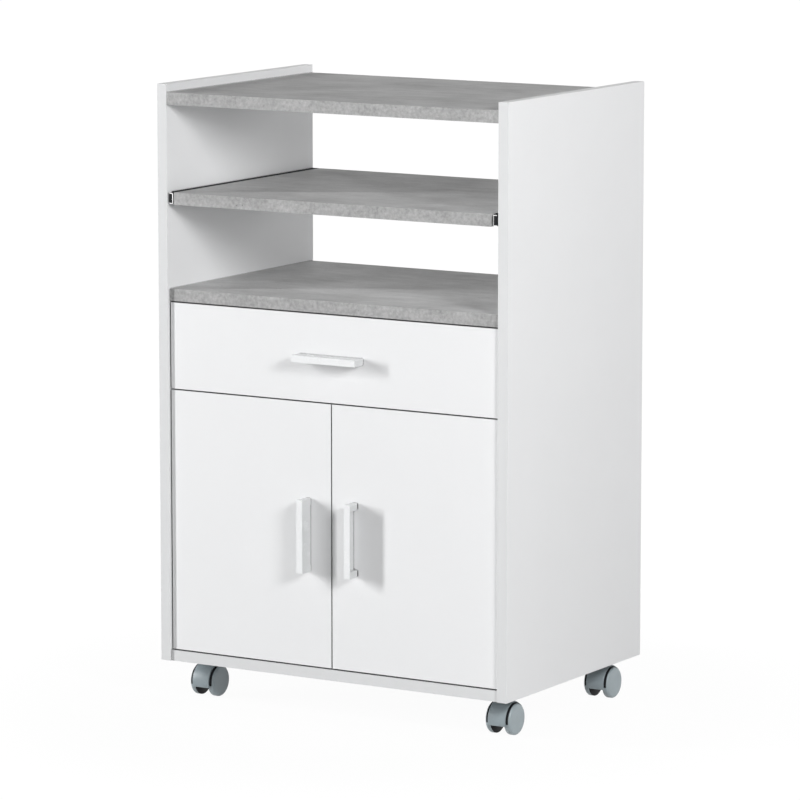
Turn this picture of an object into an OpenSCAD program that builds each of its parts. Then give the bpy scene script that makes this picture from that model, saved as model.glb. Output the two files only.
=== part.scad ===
// Kitchen microwave cart: white side panels, grey shelves, one pull-out shelf,
// a drawer, a two-door cupboard and four hooded twin-wheel casters.
// Millimetres. Origin on the floor under the middle of the cart, front towards -Y.

/* [Cabinet] */
// Overall width over the side panels
cart_w = 590; // [560:1:640]
// Depth of the side panels
panel_d = 400; // [390:1:440]
// Height of the side panels
body_h = 856; // [840:1:900]
// Thickness of the white boards
board_t = 16; // [15:0.5:18]
// Thickness of the grey shelves
shelf_t = 18; // [16:0.5:20]
// How far the top shelf lies below the tops of the side panels
top_drop = 12; // [8:1:20]
// Top of the pull-out shelf above the underside of the cabinet
pull_shelf_z = 698; // [670:1:730]
// Top of the fixed shelf above the underside of the cabinet
fixed_shelf_z = 555.5; // [545:0.5:580]
// Setback of the doors, drawer front and fixed shelf from the panel edges
front_inset = 5; // [3:0.5:8]
// Setback of the bottom panel from the panel edges
bottom_inset = 3; // [1:0.5:6]
// Thickness of the hardboard back
back_t = 3; // [2.5:0.5:4]
// Gap round the hardboard back
back_play = 0.5; // [0.2:0.1:1]
// Depth of the rail above the doors
rail_d = 60; // [50:1:80]
// Gap between the rail and the back of the drawer front
rail_play = 0.5; // [0.3:0.1:1]

/* [Fronts] */
// Gap round the doors and the drawer front
front_gap = 2; // [1.8:0.1:2.5]
// Height of the drawer front
drawer_front_h = 127.5; // [120:0.5:140]

/* [Inner shelf] */
// Top of the cupboard shelf above the bottom panel
inner_shelf_z = 205; // [190:1:220]
// Setback of the cupboard shelf behind the doors
inner_shelf_back = 40; // [36:1:80]
// Gap at each end of the cupboard shelf
inner_shelf_play = 0.8; // [0.5:0.1:0.9]
// Diameter of the shelf pins
pin_d = 5; // [4:0.5:6]
// Length of a shelf pin inside the side panel
pin_in = 9; // [7:0.5:11]
// Length of a shelf pin under the shelf
pin_out = 9; // [7:0.5:12]
// Distance of the shelf pins from the ends of the shelf depth
pin_inset = 40; // [30:1:60]

/* [Knock-down fittings] */
// Diameter of the cam locks
cam_d = 15; // [12:0.5:16]
// Height of the cam locks
cam_h = 12; // [11.5:0.1:12.5]
// Depth of the cam locks below the board surface
cam_sink = 0.4; // [0.2:0.1:0.8]
// Distance of the cam locks from the side panels
cam_reach = 24; // [20:1:34]
// Distance of the cam locks from the board edges
cam_inset = 110; // [100:1:120]
// Distance from a cam lock to its dowel
dowel_step = 32; // [24:1:40]
// Diameter of the cam bolts
bolt_d = 5; // [4:0.5:5.5]
// Diameter of the thread of the cam bolts
bolt_thread_d = 6; // [5.5:0.1:6.5]
// Diameter of the heads of the cam bolts
bolt_head_d = 6.6; // [6.2:0.1:7]
// Length of the heads of the cam bolts
bolt_head_h = 4; // [3:0.5:5]
// Depth of the cam bolts in the side panels
bolt_in = 11; // [9:0.5:12]
// Diameter of the wooden dowels
dowel_d = 8; // [6:0.5:9]
// Length of the wooden dowels
dowel_len = 30; // [25:1:35]
// Depth of the wooden dowels in the side panels
dowel_in = 11; // [9:0.5:12]
// Distance of the rail's cam lock from its front edge
rail_cam_y = 18; // [15:0.5:20]
// Diameter of the wood screws
screw_d = 3.5; // [3:0.1:3.6]
// Length of the wood screws under the head
screw_len = 12; // [9:0.5:12.5]
// Length of the point of a wood screw
screw_tip = 3; // [2:0.5:4]
// Diameter of the screw heads
screw_head_d = 6.4; // [5.8:0.1:6.6]
// Height of the screw heads
screw_head_h = 1.4; // [1.2:0.1:1.6]
// Play of a fastener in its hole, on the radius
fit_play = 0.1; // [0.05:0.05:0.2]
// Number of screws along each edge of the back
back_screws_n = 5; // [4:1:7]
// Distance of the outer back screws from the side panels
back_screw_in = 30; // [25:1:60]

/* [Telescopic slides] */
// Gap between a side panel and the shelf or drawer it carries
slide_gap = 12; // [11.8:0.1:12.6]
// Width of a slide
slide_w = 9.2; // [9:0.1:9.6]
// Length of a slide
slide_len = 350; // [340:1:355]
// Travel of a slide
slide_travel = 230; // [210:1:240]
// Height of the moving runner
runner_h = 15.6; // [15.4:0.1:17]
// Depth of the runner's flanges
runner_depth = 6.4; // [6.2:0.1:7]
// Depth of the flanges of the fixed rail
rail_flange = 5.3; // [5:0.1:5.5]
// Thickness of the slide steel
steel_t = 1; // [0.8:0.1:1.1]
// Diameter of the balls
ball_d = 2; // [1.8:0.1:2.1]
// Play of a ball in its race
ball_play = 0.05; // [0.02:0.01:0.1]
// Number of balls in a row
ball_n = 8; // [5:1:8]
// Distance between the balls
ball_pitch = 12.5; // [10:0.5:12.5]
// Thickness of the ball cage
cage_t = 0.6; // [0.5:0.1:0.7]
// Length of the black front bumper
bumper_len = 8; // [5:0.5:9]
// Setback of a slide behind the edge of its shelf
slide_back = 2; // [1:0.5:4]
// Distance of the end screws from the ends of a slide
slide_screw_in = 35; // [25:1:45]
// Diameter of the raised screw bosses on a runner
boss_d = 9; // [8:0.5:11]

/* [Drawer] */
// Thickness of the drawer sides and back
box_t = 12; // [11:0.5:14]
// Height of the drawer sides
box_h = 90; // [84:1:92]
// Gap between the rail and the drawer box
box_lift = 5; // [3:0.5:8]
// Height of the slide above the lower edge of the drawer sides
box_slide_z = 45; // [35:1:55]
// Thickness of the drawer bottom
tray_t = 3; // [2.5:0.5:3.5]
// Depth of the groove for the drawer bottom
groove_in = 5; // [4:0.5:6]
// Play of the drawer bottom in its groove
groove_play = 0.2; // [0.1:0.05:0.3]
// Height of the groove above the lower edge of the sides
groove_z = 10; // [8:0.5:14]
// Diameter of the drawer dowels
box_dowel_d = 6; // [5:0.5:7]
// Depth of the drawer dowels in the front
box_dowel_in = 10; // [8:0.5:11]
// Length of the drawer dowels
box_dowel_len = 30; // [25:1:35]
// Length of the drawer box screws
box_screw_len = 30; // [25:1:35]
// Distance of the dowels and box screws from the edges of a side
box_joint_in = 20; // [18:1:25]

/* [Handles] */
// Length of a handle
handle_l = 108; // [104:1:128]
// Distance between the handle screws
handle_pitch = 96; // [88:1:97]
// Height of the handle's front bar
handle_w = 10; // [9:0.5:14]
// Projection of a handle from its front
handle_d = 24; // [20:0.5:30]
// Thickness of the front bar
handle_bar_t = 2.6; // [2:0.1:3.5]
// Thickness of the closed side
handle_web_t = 2; // [1.5:0.1:3]
// Gap between the closed side and the front, between the end posts
handle_web_gap = 1; // [0.5:0.1:2]
// Thickness of the end posts
handle_post_t = 10; // [9:0.5:12]
// Radius of the back corner of the end posts
handle_post_r = 5; // [3:0.5:6]
// Diameter of the handle screws
handle_screw_d = 4; // [3.5:0.1:4.2]
// Depth of the handle screws in the posts
handle_screw_in = 10; // [7:0.5:14]
// Diameter of the heads of the handle screws
handle_head_d = 8; // [7:0.5:9]
// Height of the heads of the handle screws
handle_head_h = 2.4; // [2:0.1:3]
// Distance from the meeting edge of a door to its handle's middle
door_handle_in = 39.5; // [30:0.5:60]

/* [Hinges] */
// Diameter of the hinge cup
cup_d = 35; // [34:0.5:36]
// Depth of the hinge cup in the door
cup_depth = 11.5; // [11.2:0.1:12]
// Wall of the hinge cup
cup_wall = 1; // [0.8:0.1:1.2]
// Distance of the cup's middle from the door edge
cup_in = 22.5; // [22:0.1:23]
// Overlap of the cup's flange round its bore
cup_rim = 2; // [1.5:0.1:2.4]
// Thickness of the cup's flange
cup_flange_t = 1.2; // [1:0.1:1.4]
// Height of the cup's flange
cup_flange_h = 60; // [58:1:64]
// Distance between the cup screws
cup_screw_pitch = 48; // [46:1:50]
// Distance of the cup screws from the cup's middle
cup_screw_off = 6; // [5:0.5:7]
// Distance of the hinge pin from the door edge
pivot_in = 19.5; // [19.3:0.1:20]
// Distance of the hinge pin from the door's face
pivot_y = 8; // [7.9:0.05:8.1]
// Diameter of the hinge pin
pivot_d = 2.6; // [2.2:0.1:2.8]
// Running play of the hinge pin, on the radius
pivot_play = 0.05; // [0.03:0.01:0.08]
// Wall round the hinge pin
knuckle_wall = 0.9; // [0.7:0.1:1]
// Width of a hinge arm
arm_w = 12; // [10:0.5:13]
// Thickness of a hinge arm
arm_t = 3; // [2.5:0.1:3.1]
// Distance from the door's face to the arm's cross part
arm_y = 31.5; // [31.2:0.1:33]
// Length of the arm's neck, from the pin to the elbow
arm_neck = 26; // [25:0.5:28]
// Angle of the arm's neck to the closed door
arm_angle = 35; // [34:1:38]
// Distance from the door's face to the arm's back end
arm_back = 78; // [72:1:84]
// Thickness of the mounting plate
mount_t = 6; // [5:0.5:7]
// Length of the mounting plate
mount_len = 40; // [34:1:42]
// Thickness of the mounting plate's wings
mount_wing_t = 2; // [1.5:0.1:2.5]
// Height of the mounting plate over its wings
mount_h = 48; // [46:1:56]
// Distance between the mounting plate's screws
mount_pitch = 32; // [30:1:34]
// Distance of the hinges from the ends of a door
hinge_end = 80; // [70:1:100]
// Width of the door stop
stop_w = 44; // [36:1:60]
// Height of the door stop
stop_h = 12; // [10:0.5:16]
// Depth of the door stop
stop_d = 14; // [12:0.5:18]
// Gap between the door stop and the closed doors
stop_play = 0.3; // [0.2:0.1:0.5]

/* [Casters] */
// Height of a caster from the floor to the cabinet
caster_h = 61; // [60:0.5:66]
// Diameter of the wheels
wheel_d = 46; // [44:0.5:48]
// Width of one wheel
wheel_w = 10; // [9:0.5:11]
// Rounding of a wheel's outer rim
wheel_round = 3; // [2:0.5:4]
// Width over both wheels
wheels_w = 42; // [41:0.5:46]
// Gap between a wheel and the hood
hood_gap = 1; // [0.7:0.1:1.2]
// Thickness of the hood
hood_t = 1.8; // [1.4:0.1:2]
// Width of the hood
hood_w = 29; // [27:0.5:31]
// Depth of the hood's front edge below the axle
hood_drop = 7.5; // [5:0.5:9]
// Gap between a wheel and the body between the wheels
wheel_gap = 0.5; // [0.3:0.1:0.8]
// Distance from the swivel axis forward to the axle
trail = 14; // [12:0.5:16]
// Diameter of the axle
axle_d = 5; // [4:0.5:6]
// Running play of the axle and the swivel pin, on the radius
spin_play = 0.06; // [0.03:0.01:0.09]
// Diameter of the swivel pin
stem_d = 8; // [7:0.5:9]
// Height of the swivel socket
socket_h = 8; // [7:0.5:9]
// Diameter of the swivel socket
socket_d = 20; // [18:0.5:22]
// Diameter of the neck under the socket
neck_d = 15; // [13:0.5:17]
// Gap between the neck and the socket
swivel_gap = 0.5; // [0.3:0.1:0.8]
// Side of the square caster plate
plate_w = 38; // [36:0.5:42]
// Thickness of the caster plate
plate_t = 2.5; // [2:0.1:3]
// Distance between the screws of a caster plate
plate_pitch = 28; // [27.5:0.5:29.5]
// Distance of the swivel axes from the sides of the cart
caster_side = 41; // [40:0.5:50]
// Distance of the front swivel axes from the front of the cart
caster_front = 82; // [78:0.5:88]
// Distance of the back swivel axes from the back of the cart
caster_back = 26; // [24:0.5:40]

/* [Hidden] */
$fn = 48;

// Overshoot of a cutting shape past the face that it opens
cut = 1;

// Main planes of the cabinet
handle_proud = handle_d - front_inset;
front_y = (handle_proud - panel_d) / 2;
back_y = front_y + panel_d;
face_y = front_y + front_inset;
face_back_y = face_y + board_t;
back_in_y = back_y - screw_head_h - back_t;
inner_w = cart_w - 2 * board_t;
half_in = inner_w / 2;
base_z = caster_h;
floor_z = base_z + board_t;
top_z = base_z + body_h - top_drop - shelf_t;
pull_z = base_z + pull_shelf_z - shelf_t;
fixed_z = base_z + fixed_shelf_z - shelf_t;
bottom_y = front_y + bottom_inset;

// Fronts
drawer_z = fixed_z - front_gap - drawer_front_h;
door_z = floor_z + front_gap;
door_h = drawer_z - front_gap - door_z;
door_w = (inner_w - 3 * front_gap) / 2;
drawer_front_w = inner_w - 2 * front_gap;

// Rail above the doors
rail_z = drawer_z - front_gap / 2;
rail_y = face_back_y + rail_play;

// Cupboard shelf
inner_z = floor_z + inner_shelf_z - board_t;
inner_y = face_back_y + inner_shelf_back;
inner_d = back_in_y - back_play - inner_y;
pin_gap = 0.05;
pin_z = inner_z - pin_gap - pin_d / 2;
pin_ys = [inner_y + pin_inset, inner_y + inner_d - pin_inset];

// Boards held by cam locks: front edge, depth, underside and thickness
boards = [
    [front_y, panel_d, top_z, shelf_t],
    [face_y, back_in_y - face_y, fixed_z, shelf_t],
    [bottom_y, back_in_y - bottom_y, base_z, board_t]
];
rail_joint = [rail_y + rail_cam_y, rail_z, board_t];
cam_points = concat(
    [for (b = boards) for (y = [b[0] + cam_inset, b[0] + b[1] - cam_inset]) [y, b[2], b[3]]],
    [rail_joint]
);
rail_dowel_y = rail_y + rail_d - rail_cam_y;
dowel_points = concat(
    [for (b = boards) let (in = cam_inset + dowel_step)
        for (y = [b[0] + in, b[0] + b[1] - in]) [y, b[2] + b[3] / 2]],
    [[rail_dowel_y, rail_z + board_t / 2]]
);

// Telescopic slides
rail_h = runner_h - 2 * steel_t - 2 * (ball_d + 2 * ball_play);
ball_z = rail_h / 2 + ball_play + ball_d / 2;
ball_x = (rail_flange + slide_w - runner_depth) / 2;
cage_x = rail_flange + cage_t;
cage_len = ball_n * ball_pitch;
overlap_len = slide_len - slide_travel;
shelf_slide_y = front_y + slide_back;
shelf_slide_z = pull_z + shelf_t / 2;
drawer_slide_y = face_back_y + slide_back;
box_z = rail_z + board_t + box_lift;
drawer_slide_z = box_z + box_slide_z;
rail_start = bumper_len + slide_back;
slide_screw_ys = [slide_screw_in, slide_len / 2, slide_len - slide_screw_in];

// Drawer box
box_x = half_in - slide_gap;
box_len = slide_len;
box_inner_w = 2 * (box_x - box_t);
drawer_back_y = face_back_y + box_len - box_t;
tray_z = box_z + groove_z;
tray_gap_z = tray_t + 2 * groove_play;
box_joint_zs = [box_z + box_joint_in + groove_z, box_z + box_h - box_joint_in];

// Handles
drawer_handle_z = drawer_z + drawer_front_h / 2;
door_handle_z = door_z + door_h / 2;
door_handle_x = front_gap / 2 + door_handle_in;
handle_screw_len = board_t + handle_screw_in;

// Hinges, in the frame of the left-hand door
hinge_zs = [door_z + hinge_end, door_z + door_h - hinge_end];
door_edge = front_gap;
pivot_x = door_edge + pivot_in;
cup_x = door_edge + cup_in;
mount_y = face_y + arm_back - mount_len;
mount_screw_y = mount_y + mount_len / 2;

// Casters
wheel_r = wheel_d / 2;
hood_r = wheel_r + hood_gap;
core_w = wheels_w - 2 * wheel_w - 2 * wheel_gap;
socket_z = caster_h - plate_t - socket_h;
neck_top = socket_z - swivel_gap;
caster_x = cart_w / 2 - caster_side;
caster_front_y = front_y + caster_front;
caster_back_y = back_y - caster_back;
neck_z = wheel_r * 1.55;

// ---------------------------------------------------------------- placing

// Frame of the left side: x = 0 on the inner face of the left panel, +X inwards
module left_side() {
    translate([-half_in, 0, 0]) children();
}

module right_side() {
    translate([half_in, 0, 0]) mirror([1, 0, 0]) children();
}

module both_sides() {
    left_side() children();
    right_side() children();
}

// Turn a shape that points along +Z to point out into the left panel, or inwards
module outwards() {
    rotate([0, -90, 0]) children();
}

module inwards() {
    rotate([0, 90, 0]) children();
}

// ---------------------------------------------------------------- fasteners

// Head below z = 0, shank along +Z
module wood_screw(length) {
    translate([0, 0, -screw_head_h]) cylinder(d = screw_head_d, h = screw_head_h);
    cylinder(d = screw_d, h = length - screw_tip);
    translate([0, 0, length - screw_tip]) cylinder(d1 = screw_d, d2 = screw_d / 5, h = screw_tip);
}

// Hole for a wood screw, open at z = 0
module screw_hole(length) {
    translate([0, 0, -cut]) cylinder(d = screw_d + 2 * fit_play, h = length + cut + fit_play);
}

module handle_screw() {
    translate([0, 0, -handle_head_h]) cylinder(d = handle_head_d, h = handle_head_h);
    cylinder(d = handle_screw_d, h = handle_screw_len);
}

module handle_screw_hole(length) {
    translate([0, 0, -cut]) cylinder(d = handle_screw_d + 2 * fit_play, h = length + cut);
}

// Cam lock at the origin with its slot towards -X, bolt axis at height axis_z
module cam_lock(axis_z) {
    slot_w = bolt_head_d + 4 * fit_play;
    difference() {
        translate([0, 0, cam_sink]) cylinder(d = cam_d, h = cam_h - cam_sink);
        translate([-cam_d, -slot_w / 2, axis_z - slot_w / 2])
            cube([cam_d + bolt_head_h / 2 + fit_play, slot_w, slot_w]);
        translate([0, 0, -cut]) cylinder(d = cam_d / 3, h = cam_sink + cut + 1);
    }
}

// Bolt from the side panel to the middle of a cam lock, axis +X from the panel face
module cam_bolt() {
    inwards() {
        translate([0, 0, -bolt_in]) cylinder(d = bolt_thread_d, h = bolt_in);
        cylinder(d = bolt_d, h = cam_reach);
        translate([0, 0, cam_reach - bolt_head_h / 2]) cylinder(d = bolt_head_d, h = bolt_head_h);
    }
}

// ---------------------------------------------------------------- carcass

// Everything bored into the inner face of a side panel
module panel_bores() {
    for (p = cam_points)
        translate([0, p[0], p[1] + p[2] / 2]) outwards()
            translate([0, 0, -cut])
                cylinder(d = bolt_thread_d + 2 * fit_play, h = bolt_in + fit_play + cut);
    for (p = dowel_points)
        translate([0, p[0], p[1]]) outwards()
            translate([0, 0, -cut]) cylinder(d = dowel_d + 2 * fit_play, h = dowel_in + fit_play + cut);
    for (y = pin_ys)
        translate([0, y, pin_z]) outwards()
            translate([0, 0, -cut]) cylinder(d = pin_d + 2 * fit_play, h = pin_in + fit_play + cut);
    rail_screw_places() outwards() screw_hole(screw_len - steel_t);
    for (z = hinge_zs) for (s = [-1, 1])
        translate([0, mount_screw_y, z + s * mount_pitch / 2]) outwards() screw_hole(screw_len);
}

module side_panel() {
    difference() {
        translate([-board_t, front_y, base_z]) cube([board_t, panel_d, body_h]);
        panel_bores();
    }
}

module side_panel_left() {
    color("white") left_side() side_panel();
}

module side_panel_right() {
    color("white") right_side() side_panel();
}

// A board between the side panels with its cam, bolt and dowel bores
module carcass_board(y, depth, z, t, cam_ys, dowel_ys) {
    difference() {
        translate([-half_in, y, z]) cube([inner_w, depth, t]);
        both_sides() {
            for (cy = cam_ys) {
                translate([cam_reach, cy, z - cut])
                    cylinder(d = cam_d + 2 * fit_play, h = cam_h + fit_play + cut);
                translate([-cut, cy, z + t / 2]) inwards()
                    cylinder(d = bolt_head_d + 4 * fit_play, h = cam_reach + cut);
            }
            for (dy = dowel_ys)
                translate([-cut, dy, z + t / 2]) inwards()
                    cylinder(d = dowel_d + 2 * fit_play, h = dowel_len - dowel_in + cut + fit_play);
        }
    }
}

module main_board(b) {
    in = cam_inset + dowel_step;
    carcass_board(b[0], b[1], b[2], b[3],
        [b[0] + cam_inset, b[0] + b[1] - cam_inset], [b[0] + in, b[0] + b[1] - in]);
}

module top_shelf() {
    color("darkgray") main_board(boards[0]);
}

module fixed_shelf() {
    color("darkgray") difference() {
        main_board(boards[1]);
        back_screw_places(fixed_z + shelf_t / 2) screw_hole(screw_len - back_t);
    }
}

module bottom_panel() {
    color("white") difference() {
        main_board(boards[2]);
        back_screw_places(base_z + board_t / 2) screw_hole(screw_len - back_t);
        caster_places() plate_screw_places() translate([0, 0, caster_h]) screw_hole(screw_len - plate_t);
    }
}

module front_rail() {
    color("white") difference() {
        carcass_board(rail_y, rail_d, rail_z, board_t, [rail_y + rail_cam_y], [rail_dowel_y]);
        stop_screw_places() translate([0, 0, stop_h]) screw_hole(screw_len - stop_h / 2);
    }
}

// Places along the back, pointing forward from the front face of the hardboard
module back_screw_places(z) {
    step = (inner_w - 2 * back_screw_in) / (back_screws_n - 1);
    for (i = [0 : back_screws_n - 1])
        translate([-half_in + back_screw_in + i * step, back_in_y, z]) rotate([90, 0, 0]) children();
}

module back_panel() {
    color("whitesmoke") difference() {
        translate([-half_in + back_play, back_in_y, base_z + back_play])
            cube([inner_w - 2 * back_play, back_t, fixed_shelf_z - 2 * back_play]);
        for (z = [base_z + board_t / 2, fixed_z + shelf_t / 2])
            back_screw_places(z) translate([0, 0, -back_t - cut])
                cylinder(d = screw_d + 2 * fit_play, h = back_t + 2 * cut);
    }
}

module back_screws() {
    color("silver")
        for (z = [base_z + board_t / 2, fixed_z + shelf_t / 2])
            back_screw_places(z) translate([0, 0, -back_t]) wood_screw(screw_len);
}

module inner_shelf() {
    w = inner_w - 2 * inner_shelf_play;
    color("white") translate([-w / 2, inner_y, inner_z]) cube([w, inner_d, board_t]);
}

module shelf_pins() {
    color("silver") both_sides()
        for (y = pin_ys)
            translate([-pin_in, y, pin_z]) inwards() cylinder(d = pin_d, h = pin_in + pin_out);
}

module dowels() {
    color("burlywood") both_sides()
        for (p = dowel_points)
            translate([-dowel_in, p[0], p[1]]) inwards() cylinder(d = dowel_d, h = dowel_len);
}

module cam_locks() {
    color("silver") both_sides()
        for (p = cam_points)
            translate([cam_reach, p[0], p[1]]) cam_lock(p[2] / 2);
}

module cam_bolts() {
    color("silver") both_sides()
        for (p = cam_points)
            translate([0, p[0], p[1] + p[2] / 2]) cam_bolt();
}

// Screws that hold the slide rails, the hinge plates and the door stop
module cabinet_screws() {
    color("silver") {
        both_sides() {
            rail_screw_places() translate([steel_t, 0, 0]) outwards() wood_screw(screw_len);
            for (z = hinge_zs) for (s = [-1, 1])
                translate([mount_wing_t, mount_screw_y, z + s * mount_pitch / 2])
                    outwards() wood_screw(screw_len + mount_wing_t - fit_play);
        }
        stop_screw_places() translate([0, 0, stop_h / 2]) wood_screw(screw_len);
    }
}

// ---------------------------------------------------------------- slides

// Screw places of the four fixed rails, on the panel face of one side
module rail_screw_places() {
    for (p = [[shelf_slide_y, shelf_slide_z], [drawer_slide_y, drawer_slide_z]])
        for (y = slide_screw_ys)
            translate([0, p[0] + y, p[1]]) children();
}

// Fixed rail: web on the panel, flanges inwards
module slide_rail(y, z) {
    length = slide_len - rail_start;
    color("gainsboro") difference() {
        translate([0, y + rail_start, z]) {
            translate([0, 0, -rail_h / 2]) cube([steel_t, length, rail_h]);
            for (s = [-rail_h / 2, rail_h / 2 - steel_t])
                translate([0, 0, s]) cube([rail_flange, length, steel_t]);
        }
        for (dy = slide_screw_ys)
            translate([-cut, y + dy, z]) inwards()
                cylinder(d = screw_d + 2 * fit_play, h = steel_t + 2 * cut);
    }
}

// Moving runner: web on the shelf side, flanges round the rail
module slide_runner(y, z) {
    color("gainsboro") difference() {
        union() {
            translate([slide_w - steel_t, y, z - runner_h / 2]) cube([steel_t, slide_len, runner_h]);
            for (s = [-runner_h / 2, runner_h / 2 - steel_t])
                translate([slide_w - runner_depth, y, z + s]) cube([runner_depth, slide_len, steel_t]);
            for (dy = slide_screw_ys)
                translate([slide_w, y + dy, z]) inwards() cylinder(d = boss_d, h = slide_gap - slide_w);
        }
        for (dy = slide_screw_ys)
            translate([slide_w - steel_t - cut, y + dy, z]) inwards()
                cylinder(d = screw_d + 2 * fit_play, h = slide_gap - slide_w + steel_t + 2 * cut);
    }
}

// Screws of one runner, heads inside it
module runner_screws(y, z) {
    for (dy = slide_screw_ys)
        translate([slide_w - steel_t, y + dy, z]) inwards() wood_screw(screw_len);
}

module runner_screw_holes(y, z) {
    for (dy = slide_screw_ys)
        translate([slide_gap, y + dy, z]) inwards()
            screw_hole(screw_len - steel_t - slide_gap + slide_w);
}

// Ball cage of one slide, halfway between the rail and the runner, and its balls
module ball_cage(y, z) {
    start = y + rail_start + slide_travel / 2 + (overlap_len - rail_start - cage_len) / 2;
    tab_x = ball_x - ball_d / 2 - cage_t;
    tab_w = cage_x + cage_t - tab_x;
    tab_z = ball_z + cage_t / 2;
    difference() {
        union() {
            translate([cage_x, start, z - tab_z]) cube([cage_t, cage_len, 2 * tab_z]);
            for (s = [-tab_z, tab_z - cage_t])
                translate([tab_x, start, z + s]) cube([tab_w, cage_len, cage_t]);
        }
        ball_places(start, z) cylinder(r = ball_d / 2 + ball_play, h = ball_d, center = true);
    }
    ball_places(start, z) sphere(d = ball_d);
}

module ball_places(start, z) {
    for (i = [0 : ball_n - 1]) for (s = [-1, 1])
        translate([ball_x, start + (i + 0.5) * ball_pitch, z + s * ball_z]) children();
}

// Black block that closes the front end of a runner
module bumper(y, z) {
    inside = runner_h - 2 * steel_t;
    translate([slide_w - runner_depth, y, z - inside / 2])
        cube([runner_depth - steel_t, bumper_len, inside]);
}

module shelf_rail_left() {
    left_side() slide_rail(shelf_slide_y, shelf_slide_z);
}

module shelf_rail_right() {
    right_side() slide_rail(shelf_slide_y, shelf_slide_z);
}

module shelf_runner_left() {
    left_side() slide_runner(shelf_slide_y, shelf_slide_z);
}

module shelf_runner_right() {
    right_side() slide_runner(shelf_slide_y, shelf_slide_z);
}

module shelf_ball_cages() {
    color("goldenrod") both_sides() ball_cage(shelf_slide_y, shelf_slide_z);
}

module shelf_bumpers() {
    color("black") both_sides() bumper(shelf_slide_y, shelf_slide_z);
}

module shelf_screws() {
    color("silver") both_sides() runner_screws(shelf_slide_y, shelf_slide_z);
}

module pull_out_shelf() {
    color("darkgray") difference() {
        translate([-half_in + slide_gap, front_y, pull_z])
            cube([inner_w - 2 * slide_gap, panel_d, shelf_t]);
        both_sides() runner_screw_holes(shelf_slide_y, shelf_slide_z);
    }
}

// ---------------------------------------------------------------- drawer

module drawer_front() {
    color("white") difference() {
        translate([-drawer_front_w / 2, face_y, drawer_z]) cube([drawer_front_w, board_t, drawer_front_h]);
        translate([-box_x, face_back_y - groove_in, tray_z])
            cube([2 * box_x, groove_in + cut, tray_gap_z]);
        for (s = [-1, 1]) for (z = box_joint_zs)
            translate([s * (box_x - box_t / 2), face_back_y + cut, z]) rotate([90, 0, 0])
                cylinder(d = box_dowel_d + 2 * fit_play, h = box_dowel_in + fit_play + cut);
        translate([0, face_back_y, drawer_handle_z]) handle_screw_places()
            handle_screw_hole(board_t + cut);
    }
}

module drawer_side() {
    color("white") difference() {
        translate([slide_gap, face_back_y, box_z]) cube([box_t, box_len, box_h]);
        translate([slide_gap + box_t - groove_in, face_back_y - cut, tray_z])
            cube([groove_in + cut, box_len + 2 * cut, tray_gap_z]);
        runner_screw_holes(drawer_slide_y, drawer_slide_z);
        for (z = box_joint_zs) {
            translate([slide_gap + box_t / 2, face_back_y - cut, z]) rotate([-90, 0, 0])
                cylinder(d = box_dowel_d + 2 * fit_play, h = box_dowel_len - box_dowel_in + fit_play + cut);
            translate([slide_gap - cut, drawer_back_y + box_t / 2, z]) inwards()
                cylinder(d = screw_d + 2 * fit_play, h = box_t + 2 * cut);
            translate([slide_gap - cut, drawer_back_y + box_t / 2, z]) inwards()
                cylinder(d = screw_head_d + 2 * fit_play, h = screw_head_h + cut);
        }
    }
}

module drawer_side_left() {
    left_side() drawer_side();
}

module drawer_side_right() {
    right_side() drawer_side();
}

module drawer_back() {
    z = tray_z + tray_gap_z;
    color("white") difference() {
        translate([-box_inner_w / 2, drawer_back_y, z]) cube([box_inner_w, box_t, box_z + box_h - z]);
        both_sides() for (jz = box_joint_zs)
            translate([slide_gap + box_t, drawer_back_y + box_t / 2, jz]) inwards()
                screw_hole(box_screw_len - box_t + screw_head_h);
    }
}

module drawer_bottom() {
    w = box_inner_w + 2 * (groove_in - groove_play);
    y = face_back_y - groove_in + groove_play;
    color("whitesmoke") translate([-w / 2, y, tray_z + groove_play])
        cube([w, drawer_back_y + box_t - y, tray_t]);
}

module drawer_dowels() {
    color("burlywood") for (s = [-1, 1]) for (z = box_joint_zs)
        translate([s * (box_x - box_t / 2), face_back_y - box_dowel_in, z]) rotate([-90, 0, 0])
            cylinder(d = box_dowel_d, h = box_dowel_len);
}

// Screws of the drawer runners and of the drawer's back corners
module drawer_screws() {
    color("silver") both_sides() {
        runner_screws(drawer_slide_y, drawer_slide_z);
        for (z = box_joint_zs)
            translate([slide_gap + screw_head_h, drawer_back_y + box_t / 2, z]) inwards()
                wood_screw(box_screw_len);
    }
}

module drawer_rail_left() {
    left_side() slide_rail(drawer_slide_y, drawer_slide_z);
}

module drawer_rail_right() {
    right_side() slide_rail(drawer_slide_y, drawer_slide_z);
}

module drawer_runner_left() {
    left_side() slide_runner(drawer_slide_y, drawer_slide_z);
}

module drawer_runner_right() {
    right_side() slide_runner(drawer_slide_y, drawer_slide_z);
}

module drawer_ball_cages() {
    color("goldenrod") both_sides() ball_cage(drawer_slide_y, drawer_slide_z);
}

// ---------------------------------------------------------------- handles

// Two handle screw axes along X, pointing forward from the back of a front
module handle_screw_places() {
    for (s = [-1, 1])
        translate([s * handle_pitch / 2, 0, 0]) rotate([90, 0, 0]) children();
}

// Side view of an end post: y along -X, rounded at the lower back corner
module post_profile() {
    difference() {
        translate([-handle_d, -handle_w / 2]) square([handle_d, handle_w]);
        translate([-handle_post_r, -handle_w / 2]) difference() {
            translate([0, -cut]) square([handle_post_r + cut, handle_post_r + cut]);
            translate([0, handle_post_r]) circle(r = handle_post_r);
        }
    }
}

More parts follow.
